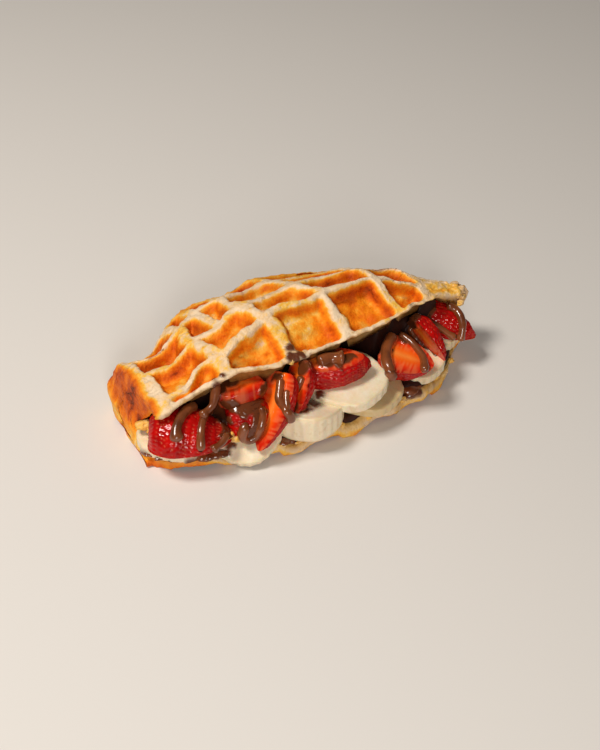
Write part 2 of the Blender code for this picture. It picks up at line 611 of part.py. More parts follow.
# Thick drizzle on a berry: its radius and its path of (t, degrees around).
STRANDS = {
    "strawberry_1": (
        (2.3, ((0.54, 250), (0.47, 266), (0.4, 288), (0.36, 310), (0.375, 330))),
        (1.8, ((0.71, 228), (0.68, 252), (0.65, 280), (0.635, 310), (0.64, 350))),
        (1.7, ((0.92, 300), (0.87, 335), (0.76, 352))),
    ),
    "strawberry_3": (
        (2.0, ((0.73, 270), (0.73, 300), (0.59, 342), (0.45, 352), (0.34, 350), (0.28, 334), (0.4, 304))),
    ),
    "strawberry_4": ((2.0, ((0.08, 86), (0.22, 78), (0.36, 64), (0.47, -4), (0.53, -34))),),
    "strawberry_5": ((1.8, ((0.27, 66), (0.43, 78), (0.63, 104), (0.83, 164))),),
    "strawberry_6": ((3.2, ((0.24, 112), (0.42, 100), (0.62, 106))),),
    "strawberry_7": (
        (2.6, ((0.1, 20), (0.09, 94), (0.26, 168), (0.36, 200))),
        (1.8, ((0.2, 0), (0.36, 24), (0.58, 48), (0.78, 82), (0.9, 180))),
    ),
    "strawberry_8": ((1.8, ((0.08, 126), (0.37, 172), (0.66, 178), (0.88, 178))),),
    "strawberry_9": (
        (2.0, ((0.43, 252), (0.59, 250), (0.72, 278), (0.78, 320), (0.78, 350))),
        (1.8, ((0.17, 328), (0.36, 324), (0.55, 330), (0.73, 345))),
    ),
}
# The chocolate follows every third of the croffle's stations and is heaped behind the fruit.
SPREAD_FIRST, SPREAD_LAST, SPREAD_SKIP, SPREAD_ACROSS = 4, -3, 3, 7
SPREAD_GAP, SPREAD_THICK, SPREAD_INSET, SPREAD_BACK = 1.1, 1.0, 2.2, 6.0
HEAP_FRONT, HEAP_RISE, HEAP_START, HEAP_STOP, HEAP_SLOPE = -6.0, 9.0, 4.0, 2.0, 8.0
# Where pieces press on each other, the one named later gives way.
FIRST_TO_LAST = (
    *(f"strawberry_{k}" for k in (1, 4, 6, 7, 9, 8, 2, 5, 3)),
    *(f"banana_slice_{k}" for k in (3, 4, 2, 1, 5, 6, 7)),
)

croffle = build_croffle(CRUST)
pieces = [croffle]
for name in FIRST_TO_LAST:
    if name in BANANAS:
        piece = outward(banana_slice(name, *BANANAS[name]))
    else:
        piece = outward(strawberry(name, *BERRIES[name]))
        drizzle = []
        for thick, path in STRANDS.get(name, ()):
            drizzle.append(strand("drizzle", strand_on(BERRIES[name], path, thick), thick))
        if drizzle:
            apply_boolean(piece, "UNION", drizzle)
    pieces.append(piece)
pieces.append(filling(CHOCOLATE))
for k, piece in enumerate(pieces[1:], 1):
    cutters = [swollen(other, CLEARANCE) for other in pieces[:k] if boxes_meet(piece, other)]
    if cutters:
        apply_boolean(piece, "DIFFERENCE", cutters)
        keep_largest(piece)
for piece in pieces[1:]:
    join_slivers(piece)
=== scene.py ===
import itertools

import bpy
import numpy as np
from mathutils import Euler, Matrix


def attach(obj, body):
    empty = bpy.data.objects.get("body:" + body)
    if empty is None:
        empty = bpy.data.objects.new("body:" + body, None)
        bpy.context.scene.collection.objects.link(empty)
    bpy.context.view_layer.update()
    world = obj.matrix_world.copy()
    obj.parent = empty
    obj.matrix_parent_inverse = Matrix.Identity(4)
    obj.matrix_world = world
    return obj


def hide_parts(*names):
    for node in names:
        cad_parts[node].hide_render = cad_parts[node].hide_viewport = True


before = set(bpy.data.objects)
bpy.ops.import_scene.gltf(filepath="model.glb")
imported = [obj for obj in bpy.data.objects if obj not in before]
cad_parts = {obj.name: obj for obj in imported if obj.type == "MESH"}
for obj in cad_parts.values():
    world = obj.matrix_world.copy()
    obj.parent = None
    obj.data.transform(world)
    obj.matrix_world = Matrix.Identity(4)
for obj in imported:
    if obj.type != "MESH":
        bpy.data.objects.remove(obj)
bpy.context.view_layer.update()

# ---------------------------------------------------------------------------------------------------
# The croffle: a croissant pressed in a waffle iron, about 180 mm long, split along its front.
# One skin runs over the ribbed top, round the closed back, under the base and back through the slit.
# Its butter layers show as flakes on the rims, and the iron browns the pockets more than the ribs.
# Painted shade darkens the pocket walls and the low left corner, and in part the cut face under the top.
# ---------------------------------------------------------------------------------------------------
MM = 0.001
CENTRE = np.array([2.05, 9.35, 0.0])

# Stations along X, and at each the Y and Z of the top's five long rib rows, in millimetres.
STATIONS = (-82.0, -62.0, -46.0, -35.0, -20.0, 9.0, 41.0, 63.0, 78.0, 90.0)
ROW_Y = (
    (-27.0, -25.0, -23.0, -18.5, -13.5, -12.5, -11.0, -14.0, -13.0, -10.0),
    (-8.0, -6.0, -3.4, 1.5, 6.5, 7.2, 8.0, 5.0, 4.0, 3.0),
    (12.0, 14.0, 15.5, 18.5, 21.0, 24.0, 24.0, 19.0, 12.0, 5.0),
    (27.0, 27.0, 32.0, 37.0, 38.5, 42.0, 38.5, 31.0, 19.0, 7.0),
    (33.5, 33.0, 43.5, 50.0, 51.5, 54.0, 48.0, 37.0, 22.0, 8.0),
)
ROW_Z = (
    (24.0, 28.0, 32.0, 35.0, 38.0, 39.5, 40.0, 33.0, 28.0, 26.0),
    (33.5, 39.5, 45.5, 49.0, 52.0, 53.0, 51.5, 43.5, 38.0, 34.0),
    (32.0, 37.5, 42.5, 46.5, 49.3, 49.3, 48.0, 43.8, 37.5, 33.0),
    (28.5, 33.0, 37.5, 40.5, 41.5, 40.0, 37.5, 36.0, 33.0, 31.0),
    (24.0, 26.5, 29.0, 31.5, 31.0, 33.0, 32.0, 30.0, 28.0, 27.0),
)
# The row where the top's open edge lies, the row and height where the slit ends, and half its gap there.
OPEN_EDGE_ROW = (0.78, 0.74, 0.59, 0.28, 0.04, 0.04, 0.15, 0.59, 0.72, 0.85)
SLIT_ROW = (1.55, 2.6, 3.1, 3.3, 3.4, 3.4, 3.3, 3.2, 2.9, 2.2)
SLIT_HEIGHT = (13.0, 14.0, 15.0, 15.5, 16.0, 16.0, 16.0, 16.0, 16.0, 17.0)
SLIT_HALF = 2.0
# The base: its front edge, and the height of its inner face at the front and at the slit's end.
BASE_FRONT_Y = (-10.0, -22.0, -26.5, -28.5, -30.5, -31.0, -28.5, -24.5, -15.5, -4.0)
BASE_INNER_FRONT = (3.8, 3.8, 4.0, 4.5, 5.0, 5.5, 6.0, 6.5, 8.0, 10.0)
BASE_INNER_BACK = (12.0, 11.0, 10.5, 10.5, 10.5, 10.5, 10.5, 10.5, 11.0, 12.0)
# The cross ribs' stations, and how far each long rib row is pushed along X.
RIB_STATIONS = (-104.0, -79.0, -49.5, -22.3, 8.5, 40.7, 64.0, 86.0, 109.0)
ROW_SKEW = (6.0, 0.0, -4.0, -7.0, -9.0)
# Bends of the long ribs: station, row, how many rows the rib strays, and over what reach.
BENDS = (
    (-58.0, 1.0, 0.28, 6.0),
    (-64.0, 2.0, -0.18, 7.0),
    (-49.5, 2.0, 0.08, 5.0),
    (-36.0, 2.0, -0.16, 7.0),
    (-66.0, 3.0, -0.12, 8.0),
)
BEND_ROWS = 0.45
SHORT_RIB_STATION, SHORT_RIB_ROW = -35.9, 1.85
TOP_END_LEFT, BASE_END_LEFT = -79.0, -84.0
TOP_END_RIGHT, BASE_END_RIGHT = 88.5, 82.5
SEAM_OUT, SEAM_HEIGHT, SEAM_HALF = 2.5, 12.5, 5.0
SCALLOPS = (-72.0, -18.0, 13.0, 34.0, 52.0, 70.0)
SCALLOP_OUT, SCALLOP_HALF = 2.6, 7.0
RIB_HALF, RIB_FOOT, ROW_PITCH = 1.3, 6.2, 24.5
RIB_SAG = 1.6
POCKET_DEPTH, BASE_POCKET_DEPTH = 8.0, 4.5
TOP_THICK, LIP_REACH, BACK_ROUND = 12.5, 14.0, 5.0
FLOOR_THICK, WALL_ROWS = 2.6, 0.2
LIP_THICKS = (4.5, 3.4, 2.6, 2.2, 2.0, 1.8, 1.8, 2.4, 5.0, 9.0)


def ease(t):
    """A smooth step: three t squared less two t cubed, held at 0 and 1 outside."""
    t = np.clip(t, 0.0, 1.0)
    return t * t * (3.0 - 2.0 * t)


def bell(values, centre, half):
    """A bell curve of the values: e to the minus squared distance from its centre, in halves."""
    return np.exp(-(((values - centre) / half) ** 2))


def through(knots, rows, at):
    """A smooth curve through the rows at the knots: cubic Hermite pieces with centred slopes."""
    knots = np.asarray(knots, float)
    rows = np.asarray(rows, float)
    slopes = np.gradient(rows, knots, axis=0)
    piece = np.clip(np.searchsorted(knots, at, side="right") - 1, 0, len(knots) - 2)
    width = knots[piece + 1] - knots[piece]
    t = np.clip((at - knots[piece]) / width, 0.0, 1.0)
    start, end = (np.take_along_axis(rows, piece + k, axis=0) for k in (0, 1))
    leave, arrive = (np.take_along_axis(slopes, piece + k, axis=0) for k in (0, 1))
    pull = t * (1.0 - t)
    return start + (end - start) * ease(t) + width * pull * (leave * (1.0 - t) - arrive * t)


def along(values, x):
    """A size given at the stations, read at x by the same smooth curve."""
    return through(STATIONS, np.asarray(values, float)[:, None], np.asarray(x, float)[:, None])[:, 0]


def lattice(corner, seed):
    """A repeatable number from 0 to 1 at each whole point: the fraction of a weighted sum's large sine."""
    return np.mod(np.sin(corner @ np.array([127.1, 311.7, 74.7]) + 13.37 * seed) * 43758.5453, 1.0)


def noise(points, size, seed=0):
    """Smooth noise from -1 to 1: lattice numbers at a cell's eight corners, mixed by eased fractions."""
    p = np.asarray(points) / size
    cell = np.floor(p)
    part = ease(p - cell)
    total = np.zeros(p.shape[:-1])
    for corner in itertools.product((0.0, 1.0), repeat=3):
        corner = np.array(corner)
        weight = np.prod(corner * part + (1.0 - corner) * (1.0 - part), axis=-1)
        total += weight * lattice(cell + corner, seed)
    return 2.0 * total - 1.0


def rough(points, size, seed=0, octaves=4):
    """Noise summed over octaves, each half as large and half as strong as the one before."""
    return sum(noise(points, np.asarray(size) / 2.0**k, seed + k) * 0.5**k for k in range(octaves))


def ridged(points, size, seed=0):
    """Sharp crests from 0 to 1: one less the size of the noise, squared."""
    return (1.0 - np.abs(noise(points, size, seed))) ** 2


def hollow(cells, pitch, wider=0.0):
    """0 on a rib and 1 on a pocket's floor: the eased distance to the nearest whole cell line."""
    away = np.abs(cells - np.round(cells)) * pitch
    return ease((away - RIB_HALF - wider) / (RIB_FOOT - RIB_HALF))


def top_point(x, row):
    """Height and depth of the top over a station: the smooth curve through the five rib rows."""
    y = through(range(5), np.stack([along(values, x) for values in ROW_Y]), row)
    z = through(range(5), np.stack([along(values, x) for values in ROW_Z]), row)
    return y, z


def strays(x, row):
    """How many rows the long ribs stray at a point: a bell curve round each bend."""
    away = 0.0 * row
    for station, bent, rows, reach in BENDS:
        near = ((x[None, :] - station) / reach) ** 2 + ((row - bent) / BEND_ROWS) ** 2
        away = away + rows * np.exp(-near)
    return away


def short_rib(x, row):
    """0 on the short cross rib, which runs from its first row to the back, and 1 away from it."""
    aside = ease((np.abs(x - SHORT_RIB_STATION) - RIB_HALF) / (RIB_FOOT - RIB_HALF))[None, :]
    return 1.0 - (1.0 - aside) * ease((row - SHORT_RIB_ROW) / 0.15)


def top_pocket(x, row, edge):
    """How far a point is into a pocket, from 0 to 1, and how deep the pocket is there in millimetres.

    It is the hollow across mixed with the hollow along, faded at edge, back and ends. The rib lines
    wander by a low noise, so that no two pockets are alike."""
    pitch = np.interp(x, RIB_STATIONS, np.gradient(np.asarray(RIB_STATIONS)))[None, :]
    column = np.interp(x, RIB_STATIONS, np.arange(len(RIB_STATIONS)))[None, :] + 0.0 * row
    flat = np.stack([column * 26.0, row * ROW_PITCH, 0.0 * row], -1)
    column = column + 0.06 * noise(flat, 14.0, 3) + 0.02 * noise(flat, 4.0, 4)
    row_line = row + 0.08 * noise(flat, 12.0, 5) + 0.02 * noise(flat, 4.0, 6)
    soft = 0.78 + 0.3 * noise(flat, 21.0, 8)
    wider = 0.9 * noise(flat, 9.0, 7)
    across = hollow(column, pitch, wider) * short_rib(x, row)
    down = np.where(row < 0.5, 1.0, hollow(row_line - strays(x, row), ROW_PITCH, wider))
    cell = 0.6 * np.minimum(across, down) + 0.4 * across * down
    lip = ease(((row - edge) * ROW_PITCH - 0.5) / 2.4)
    back = ease((4.15 - row) / 0.35)
    ends = ease((x + 81.0) / 3.5) * (1.0 - 0.88 * ease((x - 62.0) / 4.0))
    shallow = np.interp(row, (0.0, 2.0, 4.0), (1.0, 1.0, 0.85))
    deep = cell * lip * back * ends[None, :]
    return deep, POCKET_DEPTH * deep * shallow * np.clip(soft + 0.15, 0.7, 1.12)


def sag(x, row):
    """How far the long ribs hang between two cross ribs, behind row 1: a squared sine of the column."""
    column = np.interp(x, RIB_STATIONS, np.arange(len(RIB_STATIONS)))
    return RIB_SAG * np.sin(np.pi * column)[None, :] ** 2 * ease(row - 1.0)


def base_pocket(x, y):
    """Depth of the underside's pockets, 0 on its ribs."""
    pitch = np.interp(x, RIB_STATIONS, np.gradient(np.asarray(RIB_STATIONS)))
    column = np.interp(x, RIB_STATIONS, np.arange(len(RIB_STATIONS)))
    return BASE_POCKET_DEPTH * hollow(column, pitch)[None, :] * hollow((y + 12.0) / ROW_PITCH, ROW_PITCH)


def place(x, y, z, skew):
    """Stretches the stations between the two ends, which lean as they rise, and skews each rib row."""
    rise = np.clip(z / 30.0, 0.0, 1.0)
    seam = SEAM_OUT * bell(z, SEAM_HEIGHT, SEAM_HALF)
    left = BASE_END_LEFT - seam + (TOP_END_LEFT - BASE_END_LEFT) * rise
    right = BASE_END_RIGHT + (TOP_END_RIGHT - BASE_END_RIGHT) * rise
    share = (x[None, :] - STATIONS[0]) / (STATIONS[-1] - STATIONS[0])
    return np.stack([left + (right - left) * share + skew * (4.0 * share * (1.0 - share)) ** 0.7, y, z], -1)


def base_edge(x):
    """The base's open edge: a smooth line with soft scallops, each a bell curve."""
    out = sum(bell(x, scallop, SCALLOP_HALF) for scallop in SCALLOPS)
    return (along(BASE_FRONT_Y, x) - SCALLOP_OUT * out)[None, :]


def outer_curve(x, top_steps, back_steps, base_steps):
    """The crust over the top, round the back and under the base, and how deep each point is in a pocket."""
    edge = along(OPEN_EDGE_ROW, x)[None, :]
    first = np.linspace(0.0, 1.0, top_steps + 1)[:-1, None]
    others = np.linspace(1.0, 4.0, 3 * top_steps + 1)[:, None]
    row = np.concatenate([edge + (1.0 - edge) * first, others + 0.0 * edge])
    y, z = top_point(x, row)
    deep, depth = top_pocket(x, row, edge)
    z = z - sag(x, row)
    skew = np.interp(row, range(5), ROW_SKEW)
    slope = np.gradient(z, axis=0) / np.maximum(np.abs(np.gradient(y, axis=0)), 0.5 / top_steps)
    lean = 1.0 / np.sqrt(1.0 + np.clip(slope, -1.5, 1.5) ** 2)
    top = place(x, y + depth * lean * np.clip(slope, -1.0, 1.0) * 0.6, z - depth * lean, skew)
    s = (np.arange(1, back_steps + 1) / (back_steps + 1.0))[:, None]
    bulge = 3.0 * np.sin(s * np.pi)
    drop = 0.5 - 0.5 * np.cos(s * np.pi)
    fall = z[-1:] * (1.0 - drop) + 0.8 * drop
    back = place(x, y[-1:] + bulge - BACK_ROUND * drop**3, fall, ROW_SKEW[-1] * (1.0 - s) + 0.0 * fall)
    start = y[-1:] - BACK_ROUND
    s = np.linspace(0.0, 1.0, base_steps)[:, None]
    y = start + (base_edge(x) - start) * s
    under = base_pocket(x, y) * (1.0 - 0.45 * s**4)
    base = place(x, y, under, 0.0 * y)
    deep = np.concatenate([deep, 0.0 * fall, under / BASE_POCKET_DEPTH])
    return np.concatenate([top, back, base]), deep


def inner_curve(x, top_steps, base_steps):
    """The two cut faces: under the top in to the slit's end, and out again over the base."""
    edge = along(OPEN_EDGE_ROW, x)[None, :]
    slit = along(SLIT_ROW, x)[None, :]
    level = along(SLIT_HEIGHT, x)[None, :]
    s = np.linspace(0.0, 1.0, top_steps)[:, None] ** 1.6
    row = edge + (slit - edge) * s
    y, z = top_point(x, row)
    skew = np.interp(row, range(5), ROW_SKEW)
    lips = along(LIP_THICKS, x)[None, :]
    thick = lips + (TOP_THICK - lips) * ease((y - y[:1]) / LIP_REACH)
    wall = top_pocket(x, np.maximum(row - WALL_ROWS, edge), edge)[1]
    floor = np.maximum(top_pocket(x, row, edge)[1], wall)
    floor = np.maximum.reduce([np.roll(floor, aside, axis=1) for aside in (-3, 0, 3)])
    thick = np.maximum(thick, FLOOR_THICK + 1.2 * floor + sag(x, row))
    close = s**5
    top = place(x, y + 1.2 * (1.0 - s), (z - thick) * (1.0 - close) + (level + SLIT_HALF) * close, skew)
    reach = y[-1:]
    s = np.linspace(0.0, 1.0, base_steps)[:, None]
    y = reach + (base_edge(x) + 0.8 - reach) * s
    low = along(BASE_INNER_BACK, x)[None, :] * (1.0 - s) + along(BASE_INNER_FRONT, x)[None, :] * s
    low = low + 0.5 * s**3 * base_pocket(x, y)
    base = place(x, y, low + (level - SLIT_HALF - low[:1]) * (1.0 - s) ** 5, skew[-1:] * (1.0 - s) ** 2)
    return np.concatenate([top, base])


def lip(first, last, bulge, steps):
    """Rounds an edge between two faces: half an ellipse from one to the other, bulging to the front."""
    turn = (np.arange(1, steps + 1) / (steps + 1.0))[:, None, None] * np.pi
    front = np.array([0.0, -bulge, 0.0])
    return 0.5 * (first + last) - 0.5 * (last - first) * np.cos(turn) + front * np.sin(turn)


def sauce_lift(points, patches, seed):
    """How far sauce covers a surface, from 0 to 1: balls of a named centre and radius with a noisy edge."""
    cover = np.zeros(points.shape[:-1])
    for x, y, z, radius in patches:
        away = np.linalg.norm(points - np.array([x, y, z]), axis=-1) - radius
        away = away + 0.4 * radius * noise(points, 0.7 * radius, seed)
        cover = np.maximum(cover, ease(0.5 - away / 1.1))
    return cover


def ring_faces(rows, ring):
    """Quads between neighbouring closed rings of equal size."""
    r, k = np.meshgrid(np.arange(rows - 1), np.arange(ring), indexing="ij")
    after = (k + 1) % ring
    quads = np.stack([r * ring + k, r * ring + after, (r + 1) * ring + after, (r + 1) * ring + k], -1)
    return quads.reshape(-1, 4)


def ring_normals(grid, core):
    """Unit normals of a tube of rings, away from its core: the cross product of its central differences."""
    ahead = np.gradient(grid, axis=0)
    aside = np.roll(grid, -1, axis=1) - np.roll(grid, 1, axis=1)
    normal = np.cross(aside, ahead)
    normal /= np.maximum(np.linalg.norm(normal, axis=-1, keepdims=True), 1e-9)
    return normal * np.sign(np.median((normal * (grid - core)).sum(-1)))


def finished_piece(name, points, faces, finish, masks, nodes=()):
    """A smooth mesh from points in millimetres, with a number per point for each mask.

    A face has four corners, and a triangle repeats its last. All faces are turned together so that the
    volume inside, a sum of corner triple products, is positive."""
    a, b, c, d = (points[faces[:, k]] for k in range(4))
    if (np.cross(b - a, c - a) * a).sum() + (np.cross(c - a, d - a) * a).sum() < 0.0:
        faces = faces[:, [1, 0, 3, 2]]
        three = (faces[:, 2] == faces[:, 3]) | (faces[:, 0] == faces[:, 3])
    else:
        three = faces[:, 2] == faces[:, 3]
    corners = faces[~three].tolist() + [list(dict.fromkeys(face)) for face in faces[three].tolist()]
    mesh = bpy.data.meshes.new(name)
    mesh.from_pydata(((points - CENTRE) * MM).tolist(), [], corners)
    mesh.polygons.foreach_set("use_smooth", np.ones(len(mesh.polygons), bool))
    for mask, values in masks.items():
        attribute = mesh.attributes.new(mask, "FLOAT", "POINT")
        attribute.data.foreach_set("value", np.ravel(values).astype(np.float32))
    mesh.materials.append(finish)
    piece = bpy.data.objects.new(name, mesh)
    bpy.context.scene.collection.objects.link(piece)
    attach(piece, "root")
    if nodes:
        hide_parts(*nodes)
    return piece


# Smears of sauce on the crust: centre and radius in millimetres.
RIM_SAUCE = (
    (-53.0, -12.0, 37.2, 2.2),
    (-15.0, -9.0, 41.5, 2.4),
    (-15.2, -12.6, 38.6, 3.0),
    (-11.3, -12.0, 39.0, 2.2),
    (-6.2, -9.5, 39.6, 1.6),
    (-49.6, -10.5, 40.3, 1.2),
    (-62.0, -19.5, 6.0, 3.5),
    (-14.0, -25.0, 7.0, 5.0),
    (42.0, -26.0, 8.5, 5.0),
    (50.0, -22.0, 8.5, 5.0),
    (30.0, -27.0, 7.0, 4.0),
    (88.0, -3.0, 27.0, 1.8),
    (84.0, -6.0, 27.0, 1.5),
)
SAUCE_THICK = 0.9
TOP_STEPS, BACK_STEPS, BASE_STEPS = 30, 22, 50
CUT_TOP_STEPS, CUT_BASE_STEPS, LIP_STEPS = 34, 26, 7
SPAN_STEPS, END_STEPS, CAP_STEPS = 40, 8, 12
BASE_LIP_OUT, TOP_LIP_OUT, CAP_OUT = 1.2, 1.6, 3.0
RIM_HALF, TORN_FROM = 7.0, 78.0


def croffle_rings():
    """The croffle's plain rings from blunt end to point, and the masks of its floors, cut faces and rims.

    Each ring is outer curve, base lip, cut faces and top lip. Both ends close on the ring's middle line
    along a quarter ellipse. The rings' middle lines and the number of points in their outer curve come
    last."""
    ribs = RIB_STATIONS[1:-1]
    spans = [np.linspace(a, b, SPAN_STEPS, endpoint=False) for a, b in zip(ribs[:-1], ribs[1:])]
    start = np.linspace(STATIONS[0], ribs[0], END_STEPS, endpoint=False)
    x = np.concatenate([start, *spans, np.linspace(ribs[-1], STATIONS[-1], END_STEPS)])
    outer, deep = outer_curve(x, TOP_STEPS, BACK_STEPS, BASE_STEPS)
    inner = inner_curve(x, CUT_TOP_STEPS, CUT_BASE_STEPS)
    base_lip = lip(outer[-1], inner[-1], BASE_LIP_OUT, LIP_STEPS)
    top_lip = lip(inner[0], outer[0], TOP_LIP_OUT, LIP_STEPS)
    ring = np.concatenate([outer, base_lip, inner[::-1], top_lip])
    count, inside = len(outer), len(inner)
    partner = inner[np.round(np.linspace(0, inside - 1, count)).astype(int)]
    back = outer[np.round(np.linspace(0, count - 1, inside)).astype(int)]
    middle = 0.5 * np.concatenate(
        [
            outer + partner,
            base_lip + 0.5 * (outer[-1:] + inner[-1:]),
            (inner + back)[::-1],
            top_lip + 0.5 * (outer[:1] + inner[:1]),
        ]
    )
    turn = np.linspace(0.0, 0.5 * np.pi, CAP_STEPS + 1)[1:, None, None]
    caps = []
    for station, way in ((0, -1.0), (-1, 1.0)):
        shell = middle[:, station] + (ring[:, station] - middle[:, station]) * np.cos(turn) ** 0.7
        shell[..., 0] += way * CAP_OUT * np.sin(turn[..., 0])
        caps.append(shell)
    grid = np.concatenate([caps[0][::-1], ring.transpose(1, 0, 2), caps[1]])
    floor, core = (
        np.concatenate([np.repeat(rows[:1], CAP_STEPS, 0), rows, np.repeat(rows[-1:], CAP_STEPS, 0)])
        for rows in (np.pad(deep, ((0, len(ring) - count), (0, 0))).T, middle.transpose(1, 0, 2))
    )
    where, row = np.arange(len(ring)), np.arange(len(grid))[:, None]
    cut = ease((where - count - 1.0) / 6.0) * ease((count + inside + 13.0 - where) / 6.0)
    cut = cut * ease((row - CAP_STEPS + 1.0) / 5.0) * ease((len(grid) - CAP_STEPS - row) / 5.0)
    cut = np.maximum(cut, 0.75 * ease((grid[..., 0] - 80.0) / 7.0))
    crests = (count + inside + 10.0, len(ring) + 3.0, -3.0)
    rim = np.clip(sum(bell(where, crest, RIM_HALF) for crest in crests), 0.0, 1.0)
    masks = {"floor": floor, "cut": cut, "rim": np.broadcast_to(rim, floor.shape)}
    return grid, masks, core, count


def end_faces(ring, count):
    """Faces across one end ring of points, from its outer curve to its cut faces.

    One chain runs forward over the outer curve and one backward over the cut faces. Each step of the
    longer chain takes an equal share of the shorter. Most edges of the two lips stay open."""
    forward = np.arange(-1, count + 1) % ring
    backward = np.round(np.linspace(ring - LIP_STEPS - 1, count + 1, len(forward))).astype(int)
    return np.stack([forward[:-1], forward[1:], backward[1:], backward[:-1]], -1)


def crust_masks(skin, masks):
    """What the crust's finish reads at each point: bake with painted shade, cut, and sauce.

    Bake is a pale tone plus a share each for pocket floors and walls, the blunt end's wall, the
    underside, the low rim, the low left corner, the torn tip and the back, with noise over all. The
    walls' share and the low left corner's are painted shade. The cut face under the top is coloured
    as sauce, partly as painted shade under the rim."""
    x, y, z = np.moveaxis(skin, -1, 0)
    floor, rim, cut = masks["floor"], masks["rim"], masks["cut"]
    low_rim = rim * ease((14.0 - z) / 4.0)
    # Painted shade: the base's low left corner, under the first banana, is darkened and its crumb dimmed.
    painted_shade_low_left = ease((-58.0 - x) / 8.0) * ease((13.0 - z) / 3.0) * ease((-6.0 - y) / 5.0)
    tip = ease((x - TORN_FROM) / 6.0)
    end_wall = ease((-78.0 - x) / 5.0) * (1.0 - cut) * (0.3 + 0.7 * ease((z - 9.0) / 8.0))
    below = ease((6.0 - z) / 5.0)
    streaks = rough(skin, np.array([9.0, 3.2, 13.0]), 77, 2)
    edge_noise = 0.05 * rough(skin, 3.0, 79, 2)
    # The walls' bell round mid floor is painted shade in the pockets' recesses; the floors' share is
    # browning.
    bake_and_shade = 0.05 + 0.26 * ease((floor - 0.08 + edge_noise) / 0.16) + 0.34 * bell(floor, 0.6, 0.3) - 0.06 * rim
    bake_and_shade += end_wall * (0.6 + 0.3 * streaks - 0.4 * ease((-10.0 - y) / 10.0))
    bake_and_shade += 0.2 * below * (1.0 - cut) * (1.0 - 0.9 * ease((-76.0 - x) / 5.0))
    # The low left corner's share here is painted shade.
    bake_and_shade += 0.26 * low_rim + 0.34 * painted_shade_low_left + 0.2 * tip
    bake_and_shade += 0.16 * ease((y - 38.0) / 8.0) * (1.0 - cut)
    bake_and_shade -= 0.15 * floor * bell(x, -26.0, 11.0) * ease((z - 28.0) / 4.0)
    bake_and_shade += 0.06 * floor * ease((-40.0 - x) / 10.0)
    bake_and_shade += 0.11 * floor * bell(x, 36.0, 13.0) * ease((z - 24.0) / 4.0)
    bake_and_shade += 0.07 * masks["flake"] + (0.12 + 0.12 * floor) * rough(skin, 9.0, 71, 3)
    bake_and_shade += 0.16 * floor * noise(skin, 3.4, 73)
    # The crumb is dimmed in the low left corner as painted shade.
    crumb = np.maximum(cut, 0.65 * low_rim) * (1.0 - 0.7 * painted_shade_low_left) * (1.0 - 0.35 * tip)
    # The cut face under the top, behind its rim, is coloured as sauce: partly sauce, partly painted shade
    # under the rim.
    roof_sauce_and_shade = 0.85 * cut * (1.0 - rim) * ease((z - 20.0) / 4.0) * ease((74.0 - x) / 6.0)
    return {"bake_and_shade": bake_and_shade, "cut": crumb, "sauce": np.maximum(masks["sauce"], roof_sauce_and_shade)}


def croffle_skin():
    """The croffle's rings with their relief, its faces, and the masks its crust reads.

    The relief is laid along the normals: low swell, blisters and flaky crests, all of it quieter on the
    cut faces, at the two ends and under sauce. The rims wander, and the tip is torn."""
    grid, masks, core, count = croffle_rings()
    floor, cut, rim = masks["floor"], masks["cut"], masks["rim"]
    normal = ring_normals(grid, core)
    swell = 0.9 * rough(grid, 16.0, 11, 2) - 0.2
    blister = 0.7 * np.maximum(noise(grid, 5.0, 21), -0.3) * (0.5 + 0.5 * floor)
    blister = blister + 0.22 * rough(grid, 3.6, 25, 2)
    flakes = ridged(grid, np.array([9.0, 3.0, 1.6]), 31) * ridged(grid, np.array([14.0, 2.2, 2.6]), 37)
    grain = 0.2 * rough(grid, 2.0, 41, 2)
    layers = ridged(grid, np.array([16.0, 8.0, 1.1]), 43)
    lift = swell + blister + grain + 0.75 * (flakes - 0.35) + (0.55 * rim + 0.5 * cut) * (layers - 0.35)
    row = np.arange(len(grid))
    capped = np.minimum(row, len(grid) - 1.0 - row)[:, None]
    quiet = (1.0 - 0.7 * cut) * (0.25 + 0.75 * ease(capped / (1.2 * CAP_STEPS)))
    sauce = sauce_lift(grid, RIM_SAUCE, 47)
    grid = grid + normal * (lift * quiet * (1.0 - 0.7 * sauce) + SAUCE_THICK * sauce)[..., None]
    ragged = rim * (1.0 - 0.4 * cut)
    grid[..., 1] += ragged * 1.3 * rough(grid, np.array([6.0, 40.0, 40.0]), 51, 3)
    grid[..., 2] += ragged * 0.8 * rough(grid, np.array([7.0, 40.0, 40.0]), 61, 3)
    torn = ease((grid[..., 0] - TORN_FROM) / 6.0)
    grid = grid + (torn * 1.6 * rough(grid, 3.4, 67, 3))[..., None] * normal
    grid[..., 2] = np.maximum(grid[..., 2], 0.0)
    rings, ring = grid.shape[:2]
    closing = end_faces(ring, count)
    faces = np.concatenate([ring_faces(rings, ring), closing, closing[:, ::-1] + (rings - 1) * ring])
    return grid, faces, crust_masks(grid, {**masks, "flake": flakes, "sauce": sauce})


def socket_group(name, inputs, outputs):
    """An empty shader node group with named float or colour sockets, and its two ends."""
    group = bpy.data.node_groups.new(name, "ShaderNodeTree")
    kinds = {"float": "NodeSocketFloat", "colour": "NodeSocketColor"}
    for label, kind in inputs:
        group.interface.new_socket(label, in_out="INPUT", socket_type=kinds[kind])
    for label, kind in outputs:
        group.interface.new_socket(label, in_out="OUTPUT", socket_type=kinds[kind])
    return group, group.nodes.new("NodeGroupInput"), group.nodes.new("NodeGroupOutput")


